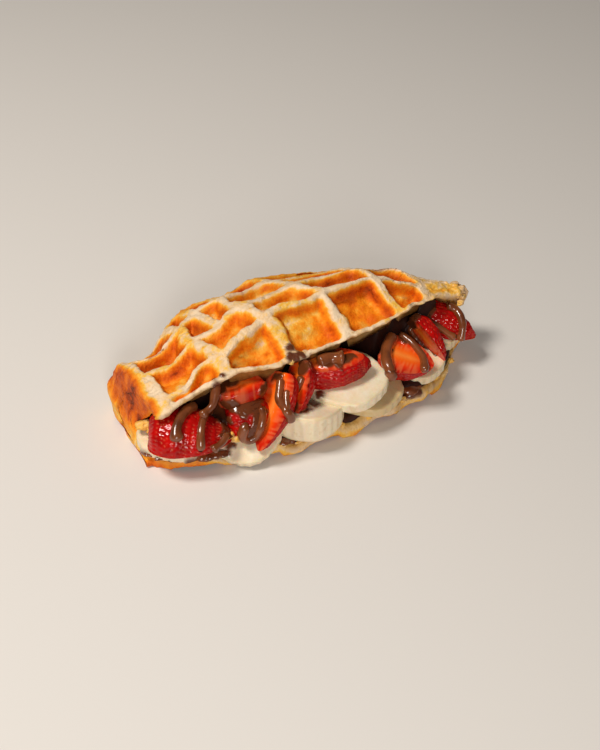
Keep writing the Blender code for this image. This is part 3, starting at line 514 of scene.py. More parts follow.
def grain_group():
    """Fine grain for anything baked or cut: two noises of the object's own coordinates, in metres.

    Mottle is a soft cloud from 0 to 1, Grain a fine one, and Height their weighted sum."""
    group, given, gives = socket_group(
        "food_grain",
        (("Mottle Scale", "float"), ("Grain Scale", "float"), ("Grain Share", "float")),
        (("Mottle", "float"), ("Grain", "float"), ("Height", "float")),
    )
    nodes, links = group.nodes, group.links
    where = nodes.new("ShaderNodeTexCoord")
    clouds = []
    for label, detail in (("Mottle Scale", 3.0), ("Grain Scale", 4.0)):
        cloud = nodes.new("ShaderNodeTexNoise")
        cloud.inputs["Detail"].default_value = detail
        cloud.inputs["Roughness"].default_value = 0.6
        links.new(where.outputs["Object"], cloud.inputs["Vector"])
        links.new(given.outputs[label], cloud.inputs["Scale"])
        clouds.append(cloud)
    share = nodes.new("ShaderNodeMix")
    links.new(given.outputs["Grain Share"], share.inputs[0])
    links.new(clouds[0].outputs["Fac"], share.inputs[2])
    links.new(clouds[1].outputs["Fac"], share.inputs[3])
    links.new(clouds[0].outputs["Fac"], gives.inputs["Mottle"])
    links.new(clouds[1].outputs["Fac"], gives.inputs["Grain"])
    links.new(share.outputs[0], gives.inputs["Height"])
    return group


def sauce_group():
    """Chocolate over a surface where Sauce is 1: its brown, its wet smoothness and its clear coat."""
    group, given, gives = socket_group(
        "chocolate_over",
        (
            ("Sauce", "float"),
            ("Under Color", "colour"),
            ("Under Roughness", "float"),
            ("Under Coat", "float"),
        ),
        (("Base Color", "colour"), ("Roughness", "float"), ("Coat Weight", "float")),
    )
    nodes, links = group.nodes, group.links
    brown = nodes.new("ShaderNodeMix")
    brown.data_type = "RGBA"
    brown.inputs[7].default_value = (0.125, 0.03, 0.009, 1.0)
    links.new(given.outputs["Sauce"], brown.inputs[0])
    links.new(given.outputs["Under Color"], brown.inputs[6])
    links.new(brown.outputs[2], gives.inputs["Base Color"])
    for label, under, wet in (("Roughness", "Under Roughness", 0.28), ("Coat Weight", "Under Coat", 0.9)):
        mixed = nodes.new("ShaderNodeMix")
        mixed.inputs[3].default_value = wet
        links.new(given.outputs["Sauce"], mixed.inputs[0])
        links.new(given.outputs[under], mixed.inputs[2])
        links.new(mixed.outputs[0], gives.inputs[label])
    return group


FOOD_GRAIN = grain_group()
CHOCOLATE_OVER = sauce_group()


class Finish:
    """A material under construction: its Principled shader, and short calls that wire nodes to it."""

    def __init__(self, name, roughness, **constants):
        """Sets what is the same all over the surface on the shader's own sockets."""
        self.material = bpy.data.materials.new(name)
        self.material.use_nodes = True
        self.nodes, self.links = self.material.node_tree.nodes, self.material.node_tree.links
        self.shader = self.nodes["Principled BSDF"]
        self.shader.inputs["Roughness"].default_value = roughness
        for label, value in constants.items():
            self.shader.inputs[label.replace("_", " ")].default_value = value

    def grain(self, mottle, grain, share):
        """The food grain's outputs, for two scales in cells per metre and the fine grain's share."""
        node = self.nodes.new("ShaderNodeGroup")
        node.node_tree = FOOD_GRAIN
        for label, value in (("Mottle Scale", mottle), ("Grain Scale", grain), ("Grain Share", share)):
            node.inputs[label].default_value = value
        return node.outputs

    def mask(self, name):
        """One of the mesh's numbers per point."""
        node = self.nodes.new("ShaderNodeAttribute")
        node.attribute_name = name
        return node.outputs["Fac"]

    def maths(self, operation, *terms, clamp=False):
        """A sum, product or the like of numbers and sockets."""
        node = self.nodes.new("ShaderNodeMath")
        node.operation = operation
        node.use_clamp = clamp
        for socket, term in enumerate(terms):
            if isinstance(term, (int, float)):
                node.inputs[socket].default_value = term
            else:
                self.links.new(term, node.inputs[socket])
        return node.outputs[0]

    def stretch(self, value, low, high):
        """Value from low to high becomes 0 to 1, eased and held at the ends."""
        node = self.nodes.new("ShaderNodeMapRange")
        node.interpolation_type = "SMOOTHSTEP"
        self.links.new(value, node.inputs["Value"])
        node.inputs["From Min"].default_value, node.inputs["From Max"].default_value = low, high
        return node.outputs["Result"]

    def ramp(self, value, *stops):
        """A colour for each value, straight between stops of a value and a colour."""
        node = self.nodes.new("ShaderNodeValToRGB")
        self.links.new(value, node.inputs["Fac"])
        while len(node.color_ramp.elements) < len(stops):
            node.color_ramp.elements.new(0.5)
        for element, (at, colour) in zip(node.color_ramp.elements, stops):
            element.position = at
            element.color = (*colour, 1.0)
        return node.outputs["Color"]

    def mixed(self, share, first, second):
        """First colour at share 0 and second at share 1."""
        node = self.nodes.new("ShaderNodeMix")
        node.data_type = "RGBA"
        for socket, term in ((0, share), (6, first), (7, second)):
            if isinstance(term, tuple):
                node.inputs[socket].default_value = (*term, 1.0)
            else:
                self.links.new(term, node.inputs[socket])
        return node.outputs[2]

    def bump(self, height, distance, strength):
        """Tilts the shader's normal by a height, of which 1 stands a distance in metres high."""
        node = self.nodes.new("ShaderNodeBump")
        node.inputs["Distance"].default_value = distance
        node.inputs["Strength"].default_value = strength
        self.links.new(height, node.inputs["Height"])
        self.links.new(node.outputs["Normal"], self.shader.inputs["Normal"])

    def wire(self, value, label):
        """Feeds one of the shader's own sockets."""
        self.links.new(value, self.shader.inputs[label])

    def sauced(self, colour, roughness, coat):
        """Wires the shader's colour, roughness and coat, under chocolate where the sauce mask is 1."""
        node = self.nodes.new("ShaderNodeGroup")
        node.node_tree = CHOCOLATE_OVER
        self.links.new(self.mask("sauce"), node.inputs["Sauce"])
        for label, term in (("Under Color", colour), ("Under Roughness", roughness), ("Under Coat", coat)):
            if isinstance(term, float):
                node.inputs[label].default_value = term
            else:
                self.links.new(term, node.inputs[label])
        for label in ("Base Color", "Roughness", "Coat Weight"):
            self.wire(node.outputs[label], label)


def crust_finish():
    """Baked butter dough: pale on the ribs and rims, golden to orange brown deep in the pockets, and darker
    on the pocket walls and the low left corner with painted shade.
    """
    crust = Finish("croffle_crust", 0.6, Specular_IOR_Level=0.2, Coat_Roughness=0.06)
    grain = crust.grain(230.0, 900.0, 0.45)
    patch = crust.grain(85.0, 210.0, 0.45)
    # The bake mask also holds painted shade, on the pocket walls and the low left corner.
    bake_and_shade = crust.mask("bake_and_shade")
    uneven = crust.maths("MULTIPLY_ADD", grain["Height"], 0.6, -0.3)
    broad = crust.maths("MULTIPLY_ADD", patch["Height"], 0.8, -0.4)
    bake_and_shade = crust.maths("ADD", crust.maths("ADD", bake_and_shade, uneven), broad, clamp=True)
    colour = crust.ramp(
        bake_and_shade,
        (0.0, (0.91, 0.69, 0.46)),
        (0.12, (0.90, 0.60, 0.32)),
        (0.2, (0.96, 0.56, 0.10)),
        (0.28, (0.96, 0.44, 0.045)),
        (0.42, (0.94, 0.29, 0.008)),
        (0.6, (0.80, 0.165, 0.003)),
        (0.84, (0.50, 0.065, 0.002)),
        (1.0, (0.10, 0.018, 0.003)),
    )
    crumb = crust.ramp(
        patch["Height"],
        (0.36, (0.36, 0.14, 0.02)),
        (0.5, (0.66, 0.36, 0.09)),
        (0.66, (0.86, 0.60, 0.26)),
    )
    colour = crust.mixed(crust.mask("cut"), colour, crumb)
    crust.sauced(colour, crust.maths("MULTIPLY_ADD", grain["Grain"], 0.35, 0.32), 0.0)
    crust.bump(grain["Height"], 0.0013, 0.9)
    return crust.material


CRUST = crust_finish()
skin, skin_faces, skin_masks = croffle_skin()
finished_piece(
    "croffle_crust_piece", skin.reshape(-1, 3), skin_faces, CRUST, skin_masks, ("croffle",)
)

# ---------------------------------------------------------------------------------------------------
# The chocolate filling: dark brown sauce spooned over the base before the fruit went in, coloured
# near black as painted shade in the gap under the top.
# It is one body that lies thin at the front and is heaped behind the fruit, up to the top.
# ---------------------------------------------------------------------------------------------------
SPREAD_LEFT, SPREAD_RIGHT = -79.0, 82.0
SPREAD_INSET, SPREAD_GAP, SPREAD_THICK, SPREAD_BACK = 1.2, 0.6, 2.2, 5.0
HEAP_FRONT, HEAP_SLOPE = -7.0, 9.0


def chocolate_finish(name, roughness, coat, dark, light):
    """Thick chocolate sauce: a brown that a soft cloud takes from dark to light, and its wet coat."""
    chocolate = Finish(name, roughness, Coat_Weight=coat, Coat_Roughness=0.04, Specular_IOR_Level=0.2)
    grain = chocolate.grain(90.0, 400.0, 0.3)
    colour = chocolate.ramp(grain["Mottle"], (0.35, dark), (0.65, light))
    chocolate.wire(colour, "Base Color")
    chocolate.bump(grain["Height"], 0.0006, 0.35)
    return chocolate.material


CHOCOLATE = chocolate_finish("chocolate_sauce", 0.3, 1.0, (0.105, 0.024, 0.006), (0.26, 0.07, 0.019))
# The filling is chocolate, coloured near black as painted shade in the deep gap under the top.
FILLING_SAUCE_AND_SHADE = chocolate_finish(
    "chocolate_filling_sauce_and_shade", 0.6, 0.05, (0.012, 0.002, 0.001), (0.04, 0.008, 0.003)
)

# Smears of the same sauce on the fruit: centre and radius in millimetres.
SAUCE = {
    "strawberry_1_piece": ((-55.5, -26.2, 19.1, 3.2), (-59.7, -28.8, 16.0, 2.6), (-52.0, -21.0, 19.0, 5.0)),
    "strawberry_2_piece": (
        (-48.0, -15.5, 27.5, 3.6),
        (-51.0, -8.0, 29.0, 5.5),
        (-32.5, -16.5, 29.5, 3.6),
        (-44.0, -8.0, 33.0, 4.0),
    ),
    "strawberry_3_piece": (
        (-41.0, -19.0, 24.5, 5.0),
        (-37.5, -21.5, 22.0, 5.0),
        (-45.5, -17.5, 24.5, 3.6),
        (-50.5, -19.5, 21.0, 2.0),
        (-44.5, -26.5, 17.0, 4.0),
        (-39.0, -26.0, 16.0, 5.0),
    ),
    "strawberry_4_piece": ((-27.0, -15.0, 34.0, 4.5), (-24.5, -20.0, 27.0, 3.0)),
    "strawberry_5_piece": ((-13.0, -16.5, 36.0, 4.0), (-18.5, -26.0, 21.0, 3.0)),
    "strawberry_6_piece": (
        (0.5, -16.0, 32.6, 4.6),
        (6.0, -18.5, 33.0, 4.6),
        (10.0, -18.5, 33.2, 3.4),
        (4.0, -11.0, 34.0, 6.0),
    ),
    "strawberry_7_piece": ((33.0, -14.0, 28.0, 4.0), (47.0, -12.0, 27.5, 3.5)),
    "strawberry_8_piece": ((53.0, -5.0, 30.0, 5.0),),
    "strawberry_9_piece": ((66.0, 2.0, 26.0, 5.0),),
    "banana_slice_1_piece": ((-86.4, -6.5, 5.5, 2.4), (-70.0, -20.0, 6.0, 3.0)),
    "banana_slice_2_piece": (
        (-51.0, -22.0, 9.0, 2.6),
        (-53.5, -24.6, 7.0, 1.6),
        (-46.5, -18.0, 11.0, 4.0),
        # These two large smears at banana 2's back are sauce that also darkens it as painted shade behind
        # the first strawberry.
        (-50.0, -6.0, 16.5, 8.5),
        (-42.0, -4.0, 18.0, 8.0),
    ),
    "banana_slice_3_piece": ((-17.5, -27.5, 20.5, 3.2), (-9.0, -24.5, 19.5, 3.2), (-14.0, -20.0, 20.0, 5.0)),
    "banana_slice_4_piece": ((-6.4, -22.8, 22.3, 2.2), (-5.0, -16.0, 23.0, 4.0)),
    "banana_slice_7_piece": ((68.0, -12.0, 13.5, 2.5),),
}


def closed_tube(rings):
    """Points and faces of a closed skin of equal rings, each end drawn together to its ring's middle."""
    count, ring = rings.shape[:2]
    points = np.concatenate([rings.reshape(-1, 3), rings[0].mean(0)[None], rings[-1].mean(0)[None]])
    k = np.arange(ring)
    after = (k + 1) % ring
    first, last = count * ring, count * ring + 1
    start = np.stack([np.full(ring, first), after, k, k], -1)
    end = np.stack([np.full(ring, last), (count - 1) * ring + k, *[(count - 1) * ring + after] * 2], -1)
    return points, np.concatenate([ring_faces(count, ring), start, end])


def tube_piece(name, rings, finish, masks, nodes=(), plain=None):
    """A closed skin of equal rings as one piece.

    Where the piece has sauce on it, the sauce fills the relief back to the plain rings, and the surface
    is raised along its normals by the sauce's thickness."""
    count, ring = rings.shape[:2]
    if name in SAUCE:
        cover = sauce_lift(rings, SAUCE[name], len(name))
        out = ring_normals(rings, rings.mean(axis=(0, 1)))
        if plain is not None:
            rings = rings + (plain - rings) * ease(1.6 * cover)[..., None]
        rings = rings + out * (SAUCE_THICK * cover)[..., None]
        masks = {**masks, "sauce": cover}
    points, faces = closed_tube(rings)
    ended = {}
    for mask, values in masks.items():
        values = np.broadcast_to(values, (count, ring))
        ended[mask] = np.concatenate([values.ravel(), [values[0].mean(), values[-1].mean()]])
    return finished_piece(name, points, faces, finish, ended, nodes)


def filling_rings():
    """The filling's rings: a line over the base, and one above it that rises behind the fruit.

    Height is the floor plus the room under the top times an eased rise; noise lays it in soft folds.
    A ring's upper line leans with the top as it rises to it."""
    x = np.linspace(SPREAD_LEFT, SPREAD_RIGHT, 230)
    inner = inner_curve(x, CUT_TOP_STEPS, CUT_BASE_STEPS)
    roof_sauce_and_shade, floor = inner[:CUT_TOP_STEPS], inner[CUT_TOP_STEPS:]
    share = np.linspace(0.0, 1.0, 90)
    full = ease((x - SPREAD_LEFT - 4.0) / 8.0) * ease((SPREAD_RIGHT - 2.0 - x) / 8.0)
    rings = []
    for k in range(len(x)):
        front, back = floor[-1, k, 1] + SPREAD_INSET, floor[0, k, 1] - SPREAD_BACK
        y = front + (back - front) * share
        low, high = (
            np.stack([np.interp(y, side[::way, k, 1], side[::way, k, axis]) for axis in (0, 1, 2)], -1)
            for side, way in ((floor, -1), (roof_sauce_and_shade, 1))
        )
        low[:, 2] += SPREAD_GAP
        thin = low[:, 2] + SPREAD_THICK * ease(share / 0.03)
        tall = np.maximum(high[:, 2] - SPREAD_GAP, thin)
        over = low.copy()
        over[:, 2] = thin + (tall - thin) * full[k] * ease((y - HEAP_FRONT) / HEAP_SLOPE)
        folds = rough(over, np.array([9.0, 6.0, 9.0]), 81, 3) + 0.6 * noise(over, 3.5, 85)
        over[:, 2] += 1.1 * folds * ease(share / 0.05) * ease((1.0 - share) / 0.1)
        over[:, 2] = np.maximum(np.minimum(over[:, 2], np.maximum(high[:, 2] - 1.0, thin)), low[:, 2] + 0.2)
        up = (over[:, 2] - low[:, 2]) / np.maximum(high[:, 2] - low[:, 2], 1.0)
        over[:, 0] += (high[:, 0] - low[:, 0]) * np.clip(up, 0.0, 1.0)
        rings.append(np.concatenate([low, over[::-1]]))
    return np.stack(rings)


tube_piece("chocolate_filling_piece", filling_rings(), FILLING_SAUCE_AND_SHADE, {}, ("chocolate_filling",))

# ---------------------------------------------------------------------------------------------------
# The banana slices: seven rounds of ripe banana, 26 to 36 mm across, laid on the chocolate.
# A cut face is cream with three tan lobes round a darker heart; the side shows the fruit's fine ridges.
# ---------------------------------------------------------------------------------------------------
# Each slice's place, its turn in degrees, its radius and thickness, and how much one side is thicker.
BANANAS = {
    "banana_slice_1": ((-68.0, -2.8, 8.9), (3.0, -2.7, -29.7), 18.0, 6.5),
    "banana_slice_2": ((-42.4, -17.6, 10.5), (28.0, -2.7, -29.7), 17.0, 5.0),
    "banana_slice_3": ((-12.0, -21.5, 12.0), (0.0, -2.7, -29.7), 16.0, 11.0, -5.0),
    "banana_slice_4": ((10.6, -18.9, 20.0), (6.0, -2.7, -29.7), 18.0, 6.5),
    "banana_slice_5": ((20.9, -20.2, 11.5), (2.0, -2.7, -29.7), 16.5, 5.5),
    "banana_slice_6": ((52.0, -13.7, 12.0), (4.0, -2.7, -29.7), 14.0, 5.5),
    "banana_slice_7": ((70.7, -0.5, 13.0), (4.0, -2.7, -29.7), 13.0, 5.5),
}
# How far each slice's flesh is turned to a darker yellow tan.
SLICE_TAN = {"banana_slice_3": 0.12, "banana_slice_5": 1.0, "banana_slice_6": 0.35, "banana_slice_7": 0.6}


def turned(points, turn, at):
    """Local points turned by XYZ degrees and moved to their place in millimetres."""
    spin = np.array(Euler(np.radians(turn)).to_matrix())
    return np.asarray(points) @ spin.T + np.asarray(at)


def banana_rings(at, turn, radius, thick, slant=0.0, phase=0.0):
    """A slice's rings from the heart of its upper face, over the rim, to the heart of its lower face.

    Reach and level follow a superellipse; the outline adds five faint corners and an oval to a circle."""
    around = np.linspace(0.0, 2.0 * np.pi, 120, endpoint=False)
    outline = radius * (1.0 + 0.025 * np.cos(5.0 * around + phase) + 0.03 * np.cos(2.0 * around - phase))
    lay = np.linspace(0.0, 1.0, 56)[1:-1]
    turn_over = np.pi * lay
    near_heart = np.clip(np.minimum(lay, 1.0 - lay) / 0.22, 0.0, 1.0)
    reach = np.clip(np.sin(turn_over), 0.0, 1.0) ** 0.16 * near_heart**0.9
    level = 0.5 * np.sign(np.cos(turn_over)) * np.abs(np.cos(turn_over)) ** 0.3
    side = ease((0.42 - np.abs(level)) / 0.15)
    ridge = 0.22 * side[:, None] * np.cos(23.0 * around + phase)[None, :]
    x, y = ((outline[None, :] * reach[:, None] + ridge) * f(around) for f in (np.cos, np.sin))
    tall = thick + slant * y / radius
    rings = np.stack([x, y, (level[:, None] + 0.5) * tall - 0.5 * thick], -1)
    rings[..., 2] += 0.18 * rough(rings, 5.0, int(radius * 7.0 + at[0]), 3) * (1.0 - side[:, None])
    edge = bell(np.abs(level), 0.42, 0.05) * ease((reach - 0.8) / 0.1)
    masks = {"reach": reach[:, None], "side": side[:, None], "edge": edge[:, None]}
    masks["spoke"] = 0.5 + 0.5 * np.cos(3.0 * around)[None, :]
    return turned(rings, turn, at), masks


def banana_finish():
    """Ripe banana flesh: cream, a little wet; its heart is darker and greener, with tiny seed specks."""
    banana = Finish(
        "banana_flesh", 0.42, Subsurface_Weight=0.25, Subsurface_Scale=0.004, Coat_Roughness=0.25
    )
    grain = banana.grain(260.0, 1300.0, 0.4)
    heart = banana.stretch(banana.mask("reach"), 0.42, 0.16)
    lobe = banana.maths("MULTIPLY", banana.stretch(banana.mask("reach"), 0.62, 0.3), banana.mask("spoke"))
    flesh = banana.ramp(grain["Mottle"], (0.3, (0.88, 0.72, 0.48)), (0.7, (0.94, 0.84, 0.66)))
    flesh = banana.mixed(banana.maths("MULTIPLY", lobe, 0.35), flesh, (0.72, 0.52, 0.22))
    flesh = banana.mixed(banana.maths("MULTIPLY", heart, 0.55), flesh, (0.62, 0.45, 0.20))
    specks = banana.stretch(grain["Grain"], 0.66, 0.72)
    flesh = banana.mixed(banana.maths("MULTIPLY", specks, heart), flesh, (0.16, 0.07, 0.03))
    # A darker yellow tan over the whole slice, by its share.
    flesh = banana.mixed(banana.maths("MULTIPLY", banana.mask("slice_tan"), 0.75), flesh, (0.60, 0.42, 0.17))
    flesh = banana.mixed(banana.maths("MULTIPLY", banana.mask("edge"), 0.4), flesh, (0.66, 0.47, 0.20))
    strings = banana.maths("MULTIPLY", banana.stretch(grain["Mottle"], 0.5, 0.66), banana.mask("side"))
    flesh = banana.mixed(banana.maths("MULTIPLY", strings, 0.45), flesh, (0.66, 0.42, 0.14))
    banana.sauced(flesh, 0.42, 0.15)
    banana.bump(grain["Height"], 0.0005, 0.5)
    return banana.material


BANANA = banana_finish()
for name, sizes in BANANAS.items():
    rings, banana_masks = banana_rings(*sizes)
    banana_masks["slice_tan"] = SLICE_TAN.get(name, 0.1)
    tube_piece(name + "_piece", rings, BANANA, banana_masks, (name,))

# ---------------------------------------------------------------------------------------------------
# The strawberries: nine halves and slices, hulled and cut lengthwise, set on the banana.
# The skin is glossy red with a seed in each dimple; a cut face is orange red with pale streaks.
# ---------------------------------------------------------------------------------------------------
# Each berry's place, its turn in degrees, and its length, radius, and low and high cuts from its axis.
UNCUT = 99.0
BERRIES = {
    "strawberry_1": ((-66.5, -14.1, 12.9), (174.0, -1.4, -30.8), (37.0, 15.0, -UNCUT, 0.0)),
    "strawberry_2": ((-39.6, -10.4, 28.8), (-4.0, -7.0, -25.9), (22.0, 9.5, -UNCUT, 3.0)),
    "strawberry_3": ((-38.0, -16.5, 16.5), (-155.2, -11.3, -22.2), (22.0, 11.5, -UNCUT, 0.0)),
    "strawberry_4": ((-31.8, -23.6, 22.0), (29.0, 42.1, -140.1), (37.0, 9.5, -UNCUT, 0.0)),
    "strawberry_5": ((-16.9, -20.2, 27.0), (47.0, 43.4, -125.3), (25.0, 8.0, -UNCUT, 0.0)),
    "strawberry_6": ((6.4, -15.6, 27.8), (-6.0, -6.2, -26.7), (33.0, 11.0, -5.5, 4.5)),
    "strawberry_7": ((41.3, -22.3, 25.5), (4.0, 8.2, -46.9), (26.0, 12.0, -UNCUT, 0.0)),
    "strawberry_8": ((58.7, -13.0, 22.0), (113.7, 30.3, -67.2), (26.0, 8.0, -UNCUT, 0.0)),
    "strawberry_9": ((76.8, -1.8, 18.0), (-170.4, 10.3, -48.9), (34.0, 10.0, -UNCUT, 0.0)),
}
SHOULDER = 0.3
# How far the skin is sliced off all round.
PEELED = {"strawberry_2": 1.0}
SEED_APART, SEED_ROW, SEED_STRAY = 2.5, 0.8, 0.42
SEED_LONG, SEED_WIDE, SEED_HIGH, DIMPLE_DEEP = 0.3, 0.17, 0.22, 0.75


def berry_swell(size, t):
    """Radius along a strawberry: a quarter ellipse to its shoulder, then one less t squared to the 0.72."""
    rise = np.sqrt(np.clip(1.0 - (1.0 - np.clip(t, 0.0, SHOULDER) / SHOULDER) ** 2, 0.0, 1.0))
    taper = np.clip(1.0 - (np.clip(t - SHOULDER, 0.0, 1.0) / (1.0 - SHOULDER)) ** 2.0, 0.0, 1.0) ** 0.72
    return size[1] * np.where(t < SHOULDER, 0.45 + 0.55 * rise, taper)


def berry_point(size, t, around):
    """A point of the berry: t along its length, an angle round it, cut flat at its low and high planes."""
    swell = berry_swell(size, t)
    x = size[0] * (t - 0.5)
    flat = np.clip(swell * np.sin(around), size[2], size[3])
    return np.stack(np.broadcast_arrays(x, swell * np.cos(around), flat), -1)


def berry_middle(size):
    """Height of a point inside a cut strawberry, on its axis."""
    return 0.5 * (max(size[2], -0.6 * size[1]) + min(size[3], 0.6 * size[1]))


def berry_rings(at, turn, size, seed, peeled=0.0):
    """A berry's rings from its cut shoulder to its tip, and its masks.

    Seeds sit on a staggered lattice of arc lengths. Each is a bump in a dimple: two bell curves of the
    distance to the nearest lattice point. On a cut face, flesh is 1 and core falls from axis to skin."""
    steps = np.linspace(0.0, 1.0, 92)
    t = (0.985 * (1.0 - (1.0 - steps) ** 1.25))[:, None]
    around = np.linspace(0.0, 2.0 * np.pi, 132, endpoint=False)[None, :]
    swell = berry_swell(size, t) + 0.0 * around
    rings = berry_point(size, t, around)
    raw = swell * np.sin(around)
    beyond = np.maximum(raw - size[3], size[2] - raw)
    flesh = np.maximum(ease(beyond / 0.5 + 0.2), peeled)
    count = int(round(2.0 * np.pi * size[1] / SEED_APART))
    line = size[0] * t / (SEED_ROW * SEED_APART)
    best = np.full(swell.shape, 99.0)
    for step in (-1.0, 0.0, 1.0):
        row = np.round(line) + step
        shift = 0.5 * np.mod(row, 2.0)
        cell = around / (2.0 * np.pi) * count - shift
        near = np.round(cell)
        stray = (SEED_STRAY * np.sin(a * near + b * row + seed) for a, b in ((12.9, 7.1), (31.7, 17.3)))
        side = (cell - near + next(stray)) * 2.0 * np.pi * np.maximum(swell, 2.0) / count
        ahead = (line - row + next(stray)) * SEED_ROW * SEED_APART
        best = np.minimum(best, (side / SEED_WIDE) ** 2 + (ahead / SEED_LONG) ** 2)
    seeds = np.exp(-0.9 * best) * (1.0 - flesh)
    dimple = np.exp(-0.09 * best) * (1.0 - flesh)
    core = np.stack([rings[..., 0], 0.0 * swell, 0.0 * swell + berry_middle(size)], -1)
    soft = 0.3 * rough(rings, 7.0, seed, 2) + 0.08 * noise(rings, 1.3, seed)
    lift = SEED_HIGH * seeds - DIMPLE_DEEP * dimple + soft * (1.0 - 0.6 * flesh)
    plain = rings
    rings = rings + ring_normals(rings, core) * lift[..., None]
    core = np.clip(np.abs(rings[..., 1]) / np.maximum(swell, 0.5), 0.0, 1.0)
    fibres = np.stack([rings[..., 0] / 0.9, rings[..., 1] / 4.0, 0.0 * swell], -1)
    streak = ease(0.5 + 0.9 * noise(fibres, 1.0, seed + 9))
    masks = {"seed": seeds, "flesh": flesh, "core": core, "streak": streak, "length": t + 0.0 * swell}
    return turned(rings, turn, at), turned(plain, turn, at), masks


def berry_finish():
    """Strawberry: wet crimson skin, straw-coloured seeds kept pale partly as painted glints, and
    orange-red flesh paler towards its core.
    """
    berry = Finish("strawberry_fruit", 0.42, Specular_IOR_Level=0.03, Coat_Roughness=0.035)
    grain = berry.grain(160.0, 900.0, 0.4)
    red = berry.ramp(grain["Mottle"], (0.3, (0.30, 0.001, 0.001)), (0.7, (0.56, 0.003, 0.0015)))
    # The seeds' own straw colour, kept lighter than the skin partly as painted glints.
    red = berry.mixed(berry.maths("MULTIPLY", berry.mask("seed"), 0.6, clamp=True), red, (0.82, 0.22, 0.10))
    core = berry.mask("core")
    cut_face = berry.ramp(
        core,
        (0.0, (0.99, 0.25, 0.035)),
        (0.25, (0.97, 0.125, 0.004)),
        (0.6, (0.84, 0.04, 0.004)),
        (0.92, (0.45, 0.005, 0.002)),
    )
    cut_face = berry.mixed(berry.stretch(berry.mask("length"), 0.5, 0.95), cut_face, (0.62, 0.012, 0.003))
    streaks = berry.maths("MULTIPLY", berry.mask("streak"), berry.stretch(core, 0.15, 0.5))
    cut_face = berry.mixed(berry.maths("MULTIPLY", streaks, 0.25), cut_face, (0.98, 0.36, 0.12))
    berry.sauced(berry.mixed(berry.mask("flesh"), red, cut_face), 0.42, 0.55)
    berry.bump(grain["Height"], 0.0005, 0.4)
    return berry.material


BERRY = berry_finish()
for number, (name, (at, turn, size)) in enumerate(BERRIES.items()):
    rings, plain, berry_masks = berry_rings(at, turn, size, 100 + 17 * number, PEELED.get(name, 0.0))
    tube_piece(name + "_piece", rings, BERRY, berry_masks, (name,), plain)

# ---------------------------------------------------------------------------------------------------
# The drizzle: chocolate sauce poured over the berries in loops, 3 to 6 mm wide.
# Each strand follows the fruit under it, sinks a little into it and ends in a rounded drop.
# ---------------------------------------------------------------------------------------------------
# Each strand's radius, and its path of shares along the berry and degrees round it.
STRANDS = {
    "strawberry_1": (
        (2.3, ((0.54, 250), (0.47, 266), (0.4, 288), (0.36, 310), (0.375, 330))),
        (1.8, ((0.71, 228), (0.68, 252), (0.65, 280), (0.635, 310), (0.64, 350))),
        (1.7, ((0.92, 300), (0.87, 335), (0.76, 352))),
    ),
    "strawberry_3": (
        (2.0, ((0.73, 270), (0.73, 300), (0.59, 342), (0.45, 352), (0.34, 350), (0.28, 334), (0.4, 304))),
    ),
    "strawberry_4": (
        (2.0, ((0.08, 86), (0.22, 78), (0.36, 64), (0.47, -4), (0.53, -34))),
        (1.5, ((0.2, 52), (0.32, 40), (0.42, 12), (0.5, -14))),
    ),
    "strawberry_5": ((1.8, ((0.27, 66), (0.43, 78), (0.63, 104), (0.83, 164))),),
    "strawberry_6": ((3.2, ((0.24, 112), (0.42, 100), (0.62, 106))),),
    "strawberry_7": (
        (2.6, ((0.1, 20), (0.09, 94), (0.26, 168), (0.36, 200))),
        (1.8, ((0.2, 0), (0.36, 24), (0.58, 48), (0.78, 82), (0.9, 180))),
    ),
    "strawberry_8": ((1.8, ((0.08, 126), (0.37, 172), (0.66, 178), (0.88, 178))),),
    "strawberry_9": (
        (2.0, ((0.43, 252), (0.59, 250), (0.72, 278), (0.78, 320), (0.78, 350))),
        (1.8, ((0.17, 328), (0.36, 324), (0.55, 330), (0.73, 345))),
    ),
}


def strand_path(berry, path, thick, lift=0.35):
    """Points on a berry's skin along a smooth path, raised by a share of the strand's radius."""
    at, turn, size = berry
    path = np.asarray(path, float)
    knots = np.arange(len(path), dtype=float)
    steps = np.linspace(0.0, knots[-1], 14 * (len(path) - 1) + 1)
    t, around = through(knots, path, np.repeat(steps[:, None], 2, axis=1)).T
    around = np.radians(around)
    centre = berry_point(size, t, around)
    wide = berry_point(size, t, around + 0.05) - centre
    before, after = np.clip(t - 0.02, 0.0, 1.0), np.clip(t + 0.02, 0.0, 1.0)
    ahead = berry_point(size, after, around) - berry_point(size, before, around)
    normal = np.cross(wide, ahead)
    core = np.stack([centre[:, 0], 0.0 * t, 0.0 * t + berry_middle(size)], -1)
    normal *= np.sign((normal * (centre - core)).sum(-1, keepdims=True))
    normal /= np.linalg.norm(normal, axis=-1, keepdims=True)
    return turned(centre + normal * thick * lift, turn, at)


def strand_rings(path, thick, seed):
    """Round rings along a path, smoothed three times by its neighbours' mean.

    The radius swells by noise, thins before a drop near its end, and rounds off at both ends."""
    for _ in range(3):
        path[1:-1] = 0.25 * path[:-2] + 0.5 * path[1:-1] + 0.25 * path[2:]
    ahead = np.gradient(path, axis=0)
    ahead /= np.linalg.norm(ahead, axis=1, keepdims=True)
    side = np.cross(ahead, (0.13, 0.31, 0.94))
    side /= np.linalg.norm(side, axis=1, keepdims=True)
    over = np.cross(side, ahead)
    around = np.linspace(0.0, 2.0 * np.pi, 18, endpoint=False)
    s = np.linspace(0.0, 1.0, len(path))
    near = np.minimum(s, 1.0 - s)
    drop = 0.22 * bell(s, 0.9, 0.09) - 0.12 * bell(s, 0.68, 0.14)
    round_off = np.sqrt(np.clip(near / 0.06, 0.02, 1.0))
    radius = thick * round_off * (1.0 + drop + 0.14 * rough(path, 6.0, seed, 2))
    spoke = np.cos(around)[None, :, None] * side[:, None] + np.sin(around)[None, :, None] * over[:, None]
    return path[:, None] + spoke * radius[:, None, None]


